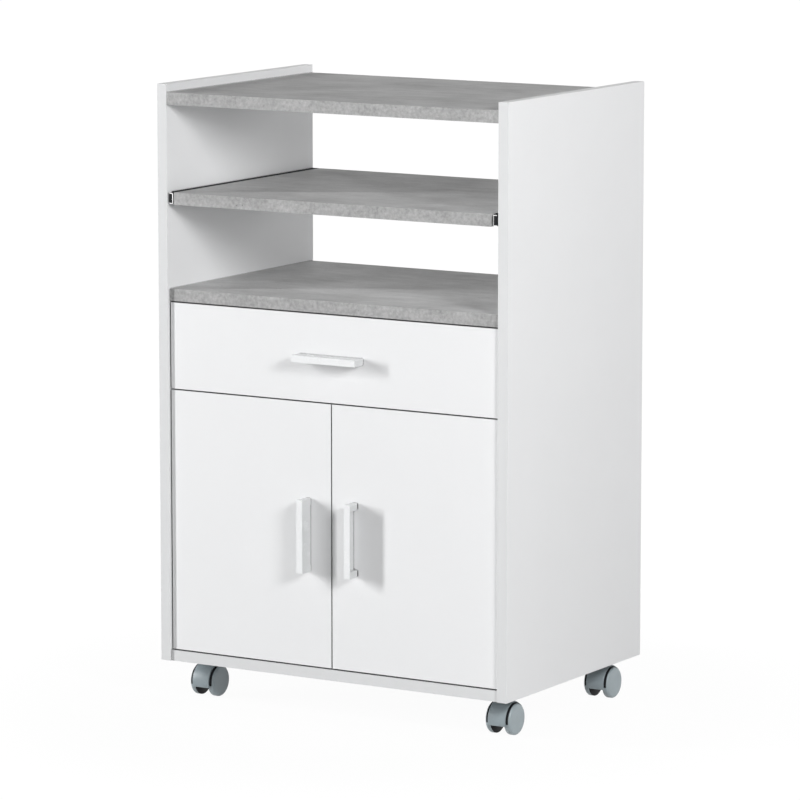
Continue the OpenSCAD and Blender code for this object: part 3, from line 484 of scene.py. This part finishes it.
def roundedOutline(points, radius, steps=5):
    # closed polygon with an arc of the given radius in each corner
    points = np.asarray(points, float)
    radii = np.broadcast_to(radius, len(points))
    rounded = []
    for corner, before, after, r in zip(points, np.roll(points, 1, 0), np.roll(points, -1, 0), radii):
        a, b = before - corner, after - corner
        a, b = a / np.linalg.norm(a), b / np.linalg.norm(b)
        half = math.acos(np.clip(a @ b, -1, 1)) / 2
        middle = corner + (a + b) / np.linalg.norm(a + b) * r / math.sin(half)
        first, last = corner + a * r / math.tan(half) - middle, corner + b * r / math.tan(half) - middle
        share = np.linspace(0, 1, steps)[:, None]
        swing = first * (1 - share) + last * share
        rounded.append(middle + swing / np.linalg.norm(swing, axis=1)[:, None] * r)
    return np.concatenate(rounded)


def outlineNormals(outline):
    # unit outward direction at each point of a counter-clockwise outline
    along = np.roll(outline, -1, 0) - np.roll(outline, 1, 0)
    out = np.stack([along[:, 1], -along[:, 0]], -1)
    return out / np.linalg.norm(out, axis=1)[:, None]


def plate(outline, low, high, edge, steps=4):
    # an outline raised from low to high, its rim drawn in along a quarter circle at both ends
    turn = np.linspace(0, np.pi / 2, steps)
    inset = np.concatenate([edge * (1 - np.sin(turn)), edge * (1 - np.cos(turn))])
    level = np.concatenate([low + edge * (1 - np.cos(turn)), high - edge * (1 - np.sin(turn))])
    rim = outline[None] - outlineNormals(outline)[None] * inset[:, None, None]
    height = np.broadcast_to(level[:, None, None], rim.shape[:2] + (1,))
    points = np.concatenate([rim, height], -1)
    rows, columns = points.shape[:2]
    faces = gridFaces(rows, columns)
    faces += [list(range(columns))[::-1], list(range((rows - 1) * columns, rows * columns))]
    return points.reshape(-1, 3), faces


def turned(profile, steps):
    # (along, radius) points turned round the local Z axis
    profile = np.asarray(profile, float)
    angle = np.radians(np.linspace(0, 360, steps, endpoint=False))
    radius = profile[:, 1][:, None]
    points = np.stack([radius * np.cos(angle), radius * np.sin(angle),
                       np.broadcast_to(profile[:, 0][:, None], (len(profile), steps))], -1)
    return points.reshape(-1, 3), gridFaces(len(profile), steps)


def placed(part, origin, x=(1, 0, 0), y=(0, 1, 0), z=(0, 0, 1)):
    # local axes laid along x, y, z and moved to origin
    points, faces = part
    return np.asarray(points) @ np.array([x, y, z], float) + np.array(origin, float), faces


def inMetres(part):
    points, faces = part
    return points * mm, faces


def axisFrame(direction):
    # two directions that complete a screw's axis
    z = np.array(direction, float)
    x = np.array((0, 0, 1.0)) if abs(z[2]) < 0.5 else np.array((1.0, 0, 0))
    return {"x": x, "y": np.cross(z, x), "z": z}


boardLook = {
    "edge": 0.5 * mm,  # rounding of the edge bands
    "frontEdge": 1.0 * mm,  # rounding of the doors and the drawer front
    "thinEdge": 0.25 * mm,  # rounding of hardboard and drawer boards
}


def makeBoards():
    white, grey = ("white", "band"), ("concrete", "concreteEdge")
    plan = [
        ("sidePanelLeft", "side_panel_left", "cabinet", white, xAxis),
        ("sidePanelRight", "side_panel_right", "cabinet", white, xAxis),
        ("topBoard", "top_shelf", "cabinet", grey, zAxis),
        ("fixedBoard", "fixed_shelf", "cabinet", grey, zAxis),
        ("bottomBoard", "bottom_panel", "cabinet", white, zAxis),
        ("railBoard", "front_rail", "cabinet", white, zAxis),
        ("innerBoard", "inner_shelf", "cabinet", white, zAxis),
        ("stopBlock", "door_stop", "cabinet", white, zAxis),
        ("pullOutBoard", "pull_out_shelf", "shelf", grey, zAxis),
        ("drawerFace", "drawer_front", "drawer", white, yAxis),
        ("doorFaceLeft", "door_left", "left_door", white, yAxis),
        ("doorFaceRight", "door_right", "right_door", white, yAxis),
    ]
    for name, node, body, finish, flat in plan:
        edge = boardLook["frontEdge" if flat == yAxis else "edge"]
        roundedCopy(name, node, body, finish, edge, flat)
    thin = [
        ("backBoard", "back_panel", "cabinet", "hardboard"),
        ("drawerTray", "drawer_bottom", "drawer", "hardboard"),
        ("drawerWallLeft", "drawer_side_left", "drawer", "white"),
        ("drawerWallRight", "drawer_side_right", "drawer", "white"),
        ("drawerRear", "drawer_back", "drawer", "white"),
    ]
    for name, node, body, finish in thin:
        roundedCopy(name, node, body, finish, boardLook["thinEdge"])


makeBoards()
print("boards done")


fittingLook = {
    "handleEdge": 0.6 * mm,  # roundings
    "hingePlateEdge": 0.4 * mm,
    "hingeArmEdge": 0.5 * mm,
    "hingeCupEdge": 0.3 * mm,
    "camEdge": 0.25 * mm,
    "pinEdge": 0.5 * mm,
}


def makeHandles():
    plan = [
        ("drawerPull", "drawer_handle", "drawer"),
        ("doorPullLeft", "door_handle_left", "left_door"),
        ("doorPullRight", "door_handle_right", "right_door"),
    ]
    for name, node, body in plan:
        # fronts and backs get the handle white, the other faces its darker copy as painted shade
        roundedCopy(name, node, body, ("handle", "handlePaintedShadeSide"), fittingLook["handleEdge"], yAxis)


def makeHinges():
    roundedCopy("hingePlates", "hinge_plates", "cabinet", "nickel", fittingLook["hingePlateEdge"])
    for side in sides:
        arms, cups, door = "hinge_arms_" + side, "hinge_cups_" + side, side + "_door"
        roundedCopy("hingeArms_" + side, arms, "cabinet", "nickel", fittingLook["hingeArmEdge"])
        roundedCopy("hingeCups_" + side, cups, door, "nickel", fittingLook["hingeCupEdge"])


def makeShelfFittings():
    roundedCopy("camLocks", "cam_locks", "cabinet", "zinc", fittingLook["camEdge"])
    roundedCopy("shelfPins", "shelf_pins", "cabinet", "zinc", fittingLook["pinEdge"])


makeHandles()
makeHinges()
print("handles and hinges done")


screwLook = {
    "dome": 0.45,  # share of the head's height that is domed
    "slot": 0.15,  # half width of the cross, share of the head's radius
    "reach": 0.62,  # length of the cross from the middle, share of the head's radius
    "slope": 0.06,  # width of the cross's walls, share of the head's radius
    "sink": 0.7,  # depth of the cross, share of the head's height
    "pitch": 1.3 * mm,
    "thread": 0.16,  # depth of the thread, share of the shank's radius
    "point": 0.25,  # length of the point, share of the shank's length
    "thinnest": 0.25,  # least radius of the shank, share of the head's radius
    "rings": (0, 0.08, 0.16, 0.26, 0.38, 0.5, 0.58, 0.66, 0.78, 0.9, 0.97, 1.0),  # over the head
    "shankRings": 22,
    "steps": 32,  # round the axis
}
armScrewLook = {
    "head": (3.6 * mm, 1.2 * mm),  # radius, height
    "shank": (2.4 * mm, 1.2 * mm),  # radius, length
    "back": (8 * mm, 30 * mm),  # from the arm's back end
    "out": 4 * mm,  # from the panel to the head's underside
}


def screwPart(headRadius, headHeight, shankRadius, length):
    # head below 0 with a cross recess cut by a mask of radius and angle, then a shank whose
    # radius follows a helix: radius * (1 - thread * (1 + cos(2 pi along / pitch - angle)) / 2)
    s, steps = screwLook, screwLook["steps"]
    angle = np.linspace(0, 2 * np.pi, steps, endpoint=False)[None]
    top = headRadius * np.array(s["rings"])[:, None]
    domed = -headHeight * (1 - s["dome"] * (top / headRadius) ** 4)
    off = np.minimum(np.abs(top * np.sin(angle)), np.abs(top * np.cos(angle)))
    slope = s["slope"] * headRadius
    cross = np.clip((s["slot"] * headRadius - off) / slope + 0.5, 0, 1)
    cross = cross * np.clip((s["reach"] * headRadius - top) / slope + 0.5, 0, 1)
    headAlong = domed + cross * headHeight * s["sink"]
    headRadial = np.broadcast_to(top, headAlong.shape)
    down = np.linspace(0, length, s["shankRings"])[:, None]
    taper = np.clip((length - down) / (s["point"] * length), 0, 1)
    wave = 0.5 + 0.5 * np.cos(2 * np.pi * down / s["pitch"] - angle)
    shankRadial = shankRadius * (1 - s["thread"] * wave) * taper
    shankAlong = np.broadcast_to(down, shankRadial.shape)
    along = np.concatenate([headAlong, np.zeros((1, steps)), shankAlong])
    radial = np.concatenate([headRadial, np.full((1, steps), headRadius), shankRadial])
    points = np.stack([radial * np.cos(angle), radial * np.sin(angle), along], -1)
    return points.reshape(-1, 3), gridFaces(len(along), steps)


def screwAt(points):
    # a detailed screw in the place of a CAD one: its longest side is its axis, its wide end the head
    low, high = points.min(0), points.max(0)
    axis = int(np.argmax(high - low))
    across = [i for i in range(3) if i != axis]
    middle = (low + high) / 2
    radius = np.linalg.norm(points[:, across] - middle[across], axis=1)
    headRadius = radius.max()
    wide = points[radius > 0.95 * headRadius][:, axis]
    headLow = abs(wide.mean() - low[axis]) < abs(wide.mean() - high[axis])
    seat = wide.max() if headLow else wide.min()
    direction, start = np.zeros(3), middle.copy()
    direction[axis] = 1.0 if headLow else -1.0
    start[axis] = seat
    headHeight = wide.max() - wide.min()
    shank = points[np.abs(points[:, axis] - seat) < 0.05 * mm]
    shankRadius = np.linalg.norm(shank[:, across] - middle[across], axis=1).min()
    shankRadius = max(shankRadius, screwLook["thinnest"] * headRadius)
    part = screwPart(headRadius, headHeight, shankRadius, (high - low)[axis] - headHeight)
    return placed(part, start, **axisFrame(direction))


def makeScrews():
    plan = [
        ("backScrews", "back_screws", "cabinet"), ("cabinetScrews", "cabinet_screws", "cabinet"),
        ("casterScrews", "caster_screws", "cabinet"), ("shelfScrews", "shelf_screws", "shelf"),
        ("drawerScrews", "drawer_screws", "drawer"), ("drawerPullScrews", "drawer_handle_screws", "drawer"),
        ("doorPullScrewsLeft", "door_handle_screws_left", "left_door"),
        ("doorPullScrewsRight", "door_handle_screws_right", "right_door"),
        ("hingeCupScrewsLeft", "hinge_cup_screws_left", "left_door"),
        ("hingeCupScrewsRight", "hinge_cup_screws_right", "right_door"),
    ]
    for name, node, body in plan:
        addPiece(name, [screwAt(points) for points in solidsOf(node)], "zinc", body, node, 35)


def makeArmScrews():
    # the two adjusting screws on each hinge arm
    parts = []
    part = screwPart(*armScrewLook["head"], *armScrewLook["shank"])
    for side, inward in (("left", 1), ("right", -1)):
        for points in solidsOf("hinge_arms_" + side):
            low, high = points.min(0), points.max(0)
            face = (low if inward > 0 else high)[0] + inward * armScrewLook["out"]
            for back in armScrewLook["back"]:
                place = (face, high[1] - back, (low[2] + high[2]) / 2)
                parts.append(placed(part, place, **axisFrame((-inward, 0, 0))))
    addPiece("hingeArmScrews", parts, "zinc", "cabinet")


makeScrews()
makeArmScrews()
makeShelfFittings()
print("screws and fittings done")


slideLook = {
    "steel": 1.0,  # mm, thickness of the strip
    "bend": 1.2,  # mm, middle radius of the bends
    "rail": [(5.3, 4.2), (0.5, 4.2), (0.5, -4.2), (5.3, -4.2)],  # mm from the panel, mm from the middle
    "runner": [(2.8, 7.3), (8.7, 7.3), (8.7, -7.3), (2.8, -7.3)],
    "boss": (4.5, 9.2, 12.0),  # mm: radius, start and end of the raised screw bosses
    "bossEdge": 0.2,  # mm
    "bossInset": 35.0,  # mm from the ends
    "cover": [(0.3, -0.9), (11.3, -0.9), (11.3, 0.0), (0.3, 0.0)],  # mm from the panel, mm from the top, of the dark strips painted as shade in the gap
    "bumperEdge": 0.6 * mm,
}


def stripOutline(corners, radius, thickness):
    # closed outline of a bent strip: its middle line with arcs at the bends, offset both ways
    steps = 6
    corners = np.array(corners, float)
    line = [corners[:1]]
    for before, corner, after in zip(corners[:-2], corners[1:-1], corners[2:]):
        turn = roundedOutline(np.array([before, corner, after]), [1e-6, radius, 1e-6], steps)
        line.append(turn[steps:2 * steps])
    line = np.concatenate(line + [corners[-1:]])
    along = np.gradient(line, axis=0)
    along = along / np.linalg.norm(along, axis=1)[:, None]
    side = np.stack([-along[:, 1], along[:, 0]], -1) * thickness / 2
    outline = np.concatenate([line + side, (line - side)[::-1]])
    area = np.sum(outline[:, 0] * np.roll(outline[:, 1], -1) - outline[:, 1] * np.roll(outline[:, 0], -1))
    return outline if area > 0 else outline[::-1]


def innerFace(side):
    # x of a side panel's inner face, and the direction from there into the cart
    low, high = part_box("side_panel_" + side)
    return (high[0], 1) if side == "left" else (low[0], -1)


def alongPanel(part, side, height):
    # (from the panel, up, along Y) laid on a side panel's inner face at the given height
    face, inward = innerFace(side)
    return placed(part, (face, 0, height), x=(inward, 0, 0), y=(0, 0, 1), z=(0, 1, 0))


def slideStrip(node, side, corners, bosses=()):
    # a bent strip in the CAD node's place, with round bosses that stand out from the panel
    low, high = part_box(node)
    middle = (low[2] + high[2]) / 2
    outline = stripOutline(corners, slideLook["bend"], slideLook["steel"]) * mm
    parts = [alongPanel(plate(outline, low[1], high[1], 0.12 * mm, 3), side, middle)]
    radius, start, end = slideLook["boss"]
    edge = slideLook["bossEdge"]
    boss = inMetres(turned([(start, 0), (start, radius), (end - edge, radius), (end, radius - edge),
                            (end, 0)], 32))
    face, inward = innerFace(side)
    for y in bosses:
        parts.append(placed(boss, (face, y, middle), x=(0, 1, 0), y=(0, 0, 1), z=(inward, 0, 0)))
    return parts


def addStrip(name, node, body, parts):
    # dark steel with bright cut ends
    piece = addPiece(name, parts, ("slide", "cutSteel"), body, node)
    paintFaces(piece, np.abs(faceRows(piece, "normal", yAxis)) > 0.9)


def makeSlides():
    inset = slideLook["bossInset"] * mm
    for part in ("shelf", "drawer"):
        for side in sides:
            rail, runner = f"{part}_rail_{side}", f"{part}_runner_{side}"
            addStrip(f"{part}Rail_{side}", rail, "cabinet", slideStrip(rail, side, slideLook["rail"]))
            low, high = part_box(runner)
            bosses = (low[1] + inset, (low[1] + high[1]) / 2, high[1] - inset)
            strip = slideStrip(runner, side, slideLook["runner"], bosses)
            addStrip(f"{part}Runner_{side}", runner, part, strip)
    roundedCopy("slideBumpers", "shelf_bumpers", "shelf", "black", slideLook["bumperEdge"])


def makeGapShadeStrips():
    # flat dark strips over the shelf's slides, level with its top: painted shade, darkening the gap between
    # the shelf and each side panel
    back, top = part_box("pull_out_shelf")[1][1:]
    outline = roundedOutline(np.array(slideLook["cover"]) * mm, 0.2 * mm, 3)
    for side in sides:
        rail = "shelf_rail_" + side
        strip = alongPanel(plate(outline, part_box(rail)[0][1], back, 0.1 * mm, 2), side, top)
        addPiece("slideGapShadeStrip_" + side, [strip], "slide", "cabinet")


makeSlides()
makeGapShadeStrips()
print("slides done")


casterShape = {  # mm and degrees, from the axle
    "wheelRadius": 23.0,
    "discEdge": 3.5,  # rounding of the wheel's outer edge
    "discDome": 0.4,  # how far the middle of the disc stands out
    "wheelInside": 11.0,  # inner faces of the wheels, from the middle
    "hub": (9.0, 8.4, 0.3),  # radius of the shallow recess round the axle, at its floor, depth
    "axle": 2.5,
    "hoodInside": 24.0,
    "hoodOutside": 25.8,
    "hoodHalf": 14.5,
    "hoodBack": 27.0,  # degrees from level at the back
    "hoodFront": 197.0,  # degrees, front lower edge
    "coreHalf": 10.5,
    "coreInside": 7.5,
    "linerInside": 23.2,
    "linerLip": 23.6,  # outside of the lip that shows beside the hood
    "linerHalf": 18.0,
    "linerShort": 7.0,  # degrees that the liner ends above the hood's front edge
    "paintedShadeHalf": 11.9,  # the wheels' inner faces are painted black as shade up to here
    "neck": (7.5, 13.5, 27.0),  # radius, lower and upper end
    "pin": 4.0,
    "trail": 14.0,  # from the swivel axis forward to the axle
    "smooth": 30,  # degrees
}
sweepLook = {
    "steps": 60,
    "end": 0.8,  # degrees over which an end is drawn in
    "thin": 0.7,  # share of the thickness that is left there
    "narrow": 0.012,  # share of the width that goes there
}
platesShape = {  # mm, from the plate's top
    "half": 19.0,
    "corner": 4.0,
    "thick": 2.5,
    "edge": 0.5,
    "socket": [(-2.2, 12.0), (-3.4, 10.6), (-4.2, 10.0), (-9.9, 10.0), (-10.5, 9.4), (-10.5, 4.1),
               (-2.6, 4.1)],  # height, radius
}


def wheelPart(half):
    # both wheels and the axle as one turned shape, mirrored about the middle
    c = casterShape
    radius, edge, inner, axle = c["wheelRadius"], c["discEdge"], c["wheelInside"], c["axle"]
    flat = radius - edge
    hub, floor, depth = c["hub"]
    face = [(half - c["discDome"] * (r / flat) ** 2, r) for r in np.linspace(0, flat, 8)[:-1]]
    rim = arc((half - c["discDome"] - edge, flat), edge, 0, 90, 9)
    back = [(inner + 0.8, radius), (inner + 0.24, radius - 0.24), (inner, radius - 0.8), (inner, hub),
            (inner - depth, floor), (inner - depth, axle), (0, axle)]
    right = np.concatenate([np.array(face), rim, np.array(back)])
    left = right[:-1][::-1] * np.array([-1, 1])
    return inMetres(turned(np.concatenate([right, left]), 72))


def sweptArc(corners, radii, start, end):
    # rounded outline (across, radius) carried round the axle, both ends drawn in and closed
    section = roundedOutline(corners, radii, 5)
    middle = section[:, 1].mean()
    inside = np.linspace(start + sweepLook["end"], end - sweepLook["end"], sweepLook["steps"])
    angle = np.radians(np.concatenate([[start], inside, [end]]))[:, None]
    thick, wide = np.ones(angle.shape), np.ones(angle.shape)
    thick[[0, -1]] = sweepLook["thin"]
    wide[[0, -1]] = 1 - sweepLook["narrow"]
    radius = middle + (section[:, 1] - middle) * thick
    points = np.stack([section[:, 0] * wide, radius * np.cos(angle), radius * np.sin(angle)], -1)
    rows, columns = points.shape[:2]
    faces = gridFaces(rows, columns)
    faces += [list(range(columns)), list(range((rows - 1) * columns, rows * columns))[::-1]]
    return inMetres((points.reshape(-1, 3), faces))


def corePart():
    # web between the wheels: outer arc under the hood, inner arc round the axle
    c = casterShape
    back, front = c["hoodBack"] + 2, c["hoodFront"] - 3
    outline = np.concatenate([arc((0, 0), c["hoodInside"] + 0.4, back, front, 40),
                              arc((0, 0), c["coreInside"], front, back + 360, 16)])
    points, faces = plate(outline, -c["coreHalf"], c["coreHalf"], 0.5)
    return inMetres((points[:, [2, 0, 1]], faces))


def hoodPart():
    c = casterShape
    half, inside, outside = c["hoodHalf"], c["hoodInside"], c["hoodOutside"]
    corners = [(-half, inside), (half, inside), (half, outside), (-half, outside)]
    return sweptArc(corners, [0.3, 0.3, 1.1, 1.1], c["hoodBack"], c["hoodFront"])


def linerPart():
    # black shell under the hood, with a lip past each side of it
    c = casterShape
    lip, under = c["linerHalf"], c["hoodHalf"] - 1
    low, high, top = c["linerInside"], c["linerLip"], c["hoodInside"] + 0.3
    corners = [(-lip, low), (lip, low), (lip, high), (under, high + 0.05), (under, top), (-under, top),
               (-under, high + 0.05), (-lip, high)]
    return sweptArc(corners, [0.1] * 8, c["hoodBack"] + 2, c["hoodFront"] - c["linerShort"])


def neckPart(end):
    # neck and swivel pin, turned: radius over height
    radius, low, high = casterShape["neck"]
    pin = casterShape["pin"]
    return inMetres(turned([
        (low, 0), (low, radius - 0.2), (low + 0.2, radius), (high - 0.4, radius), (high, radius - 0.4),
        (high, pin), (end - 0.5, pin), (end, pin - 0.5), (end, 0)], 40))


def axleOf(corner):
    low, high = (np.array(v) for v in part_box("caster_wheels_" + corner))
    return (low + high) / 2, high - low


def swivelOf(corner):
    return axleOf(corner)[0] + np.array([0, casterShape["trail"] * mm, 0])


def makeCasters():
    smooth = casterShape["smooth"]
    for corner in corners:
        wheels, fork, body = "caster_wheels_" + corner, "caster_fork_" + corner, "fork_" + corner
        axle, size = axleOf(corner)
        both = placed(wheelPart(size[0] / 2 / mm), axle, x=(0, 1, 0), y=(0, 0, 1), z=(1, 0, 0))
        piece = addPiece("wheels_" + corner, [both], ("wheel", "black"), "wheels_" + corner, wheels,
                         smooth)
        # painted shade: the wheels' inner faces, turned to each other under the hood, get the black finish
        off = np.abs(faceRows(piece, "center", xAxis) - axle[0])
        paintFaces(piece, off < casterShape["paintedShadeHalf"] * mm)
        neck = neckPart((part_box(fork)[1][2] - axle[2]) / mm)
        addPiece("hood_" + corner, [placed(hoodPart(), axle), placed(neck, swivelOf(corner))], "hood",
                 body, fork, smooth)
        for name, part in (("core_", corePart()), ("liner_", linerPart())):
            addPiece(name + corner, [placed(part, axle)], "black", body)


def makeCasterPlates():
    # rounded square plates with a turned socket under each
    s = platesShape
    square = s["half"] * np.array([(-1, -1), (1, -1), (1, 1), (-1, 1)])
    flat = inMetres(plate(roundedOutline(square, s["corner"]), -s["thick"], 0.0, s["edge"]))
    socket = inMetres(turned(s["socket"], 40))
    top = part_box("caster_plates")[1][2]
    parts = []
    for corner in corners:
        place = (*swivelOf(corner)[:2], top)
        parts += [placed(flat, place), placed(socket, place)]
    addPiece("casterPlates", parts, "zinc", "cabinet", "caster_plates",
             casterShape["smooth"])


makeCasters()
makeCasterPlates()
print("casters done")


def dressNodes():
    # nodes that stay as the CAD made them get a finish only
    plain = {"dowels": "beech", "drawer_dowels": "beech", "cam_bolts": "zinc",
             "shelf_ball_cages": "zinc", "drawer_ball_cages": "zinc"}
    for node, finish in plain.items():
        mesh = cadNodes[node].data
        mesh.materials.clear()
        mesh.materials.append(finishes[finish])


dressNodes()
print("plain nodes done")


studio = {
    "ambient": 0.05,
    "floor": (0.6, 0.6, 0.6, 1.0),
    "floorHalf": 14.0,  # metres
    "white": 1.02,  # strength of the floor's plain white
    "lift": 0.94,  # share of plain white in the floor near the cart
    "liftFrom": 0.4,  # metres from the middle: it grows from here
    "liftTo": 0.95,  # to 1 here
    "aim": 0.45,  # metres, height that the lamps point at
    # name: direction to the lamp, distance, width, height, light it gives a face turned to it,
    # and False where reflections don't show it
    "lamps": {
        "key": ((-0.832, -0.51, 0.216), 5.0, 0.36, 2.0, 0.87),
        "front": ((0.611, -0.729, 0.309), 4.5, 2.4, 2.0, 0.12),
        "right": ((0.789, -0.491, 0.369), 2.72, 0.6, 0.6, 0.51),
        "back": ((0.0, 0.966, 0.259), 3.0, 2.4, 1.2, 0.5, False),
        "backLeft": ((-0.476, 0.824, 0.309), 3.0, 1.6, 1.4, 0.1, False),
        "backRight": ((0.5, 0.82, 0.25), 3.0, 1.6, 1.4, 0.15, False),
    },
}


def addLamp(name, direction, distance, width, height, level, mirrored=True):
    # power of an area lamp that lights a white face at that distance to the given level
    toward = Vector(direction).normalized()
    data = bpy.data.lights.new(name, "AREA")
    data.shape = "RECTANGLE"
    data.size, data.size_y = width, height
    data.energy = math.pi ** 2 * level * distance ** 2
    lamp = bpy.data.objects.new(name, data)
    lamp.location = Vector((0, 0, studio["aim"])) + toward * distance
    lamp.rotation_euler = toward.to_track_quat("Z", "Y").to_euler()
    lamp.visible_camera = False
    lamp.visible_glossy = mirrored
    bpy.context.scene.collection.objects.link(lamp)


def seenRays(tree):
    # 1 for rays from the camera, in reflections and through glass
    path = addNode(tree, "LightPath")
    seen = path.outputs["Is Camera Ray"]
    for name in ("Is Glossy Ray", "Is Transmission Ray"):
        seen = addNode(tree, "Math", {0: seen, 1: path.outputs[name]}, operation="MAXIMUM").outputs[0]
    return seen


def addWorld():
    # white to the eye, with little light of its own
    world = bpy.data.worlds.new("studio")
    bpy.context.scene.world = world
    tree = emptyTree(world)
    level = spread(tree, seenRays(tree), studio["ambient"], 1.0)
    sky = addNode(tree, "Background", {"Color": (1, 1, 1, 1), "Strength": level})
    addNode(tree, "OutputWorld", {0: sky.outputs[0]})


def addFloor():
    # takes shadows and shows them faintly: mostly plain white, all white away from the cart
    half = studio["floorHalf"]
    mesh = bpy.data.meshes.new("floor")
    square = [(-half, -half, 0), (half, -half, 0), (half, half, 0), (-half, half, 0)]
    mesh.from_pydata(square, [], [(0, 1, 2, 3)])
    material = bpy.data.materials.new("paleFloor")
    tree = emptyTree(material)
    matt = addNode(tree, "BsdfDiffuse", {"Color": studio["floor"]})
    white = addNode(tree, "Emission", {"Color": (1, 1, 1, 1), "Strength": studio["white"]})
    place = addNode(tree, "TexCoord")
    away = addNode(tree, "VectorMath", {0: place.outputs["Object"]}, operation="LENGTH")
    lift = addNode(tree, "MapRange", {
        "Value": away.outputs["Value"], "From Min": studio["liftFrom"], "From Max": studio["liftTo"],
        "To Min": studio["lift"]}, interpolation_type="SMOOTHSTEP")
    share = product(tree, seenRays(tree), lift.outputs[0])
    mixed = addNode(tree, "MixShader", {0: share, 1: matt.outputs[0], 2: white.outputs[0]})
    addNode(tree, "OutputMaterial", {0: mixed.outputs[0]})
    mesh.materials.append(material)
    floor = bpy.data.objects.new("floor", mesh)
    bpy.context.scene.collection.objects.link(floor)


addCamera()
for name, settings in studio["lamps"].items():
    addLamp(name, *settings)
addWorld()
addFloor()
bpy.context.scene.view_settings.view_transform = "Standard"
print("studio done")
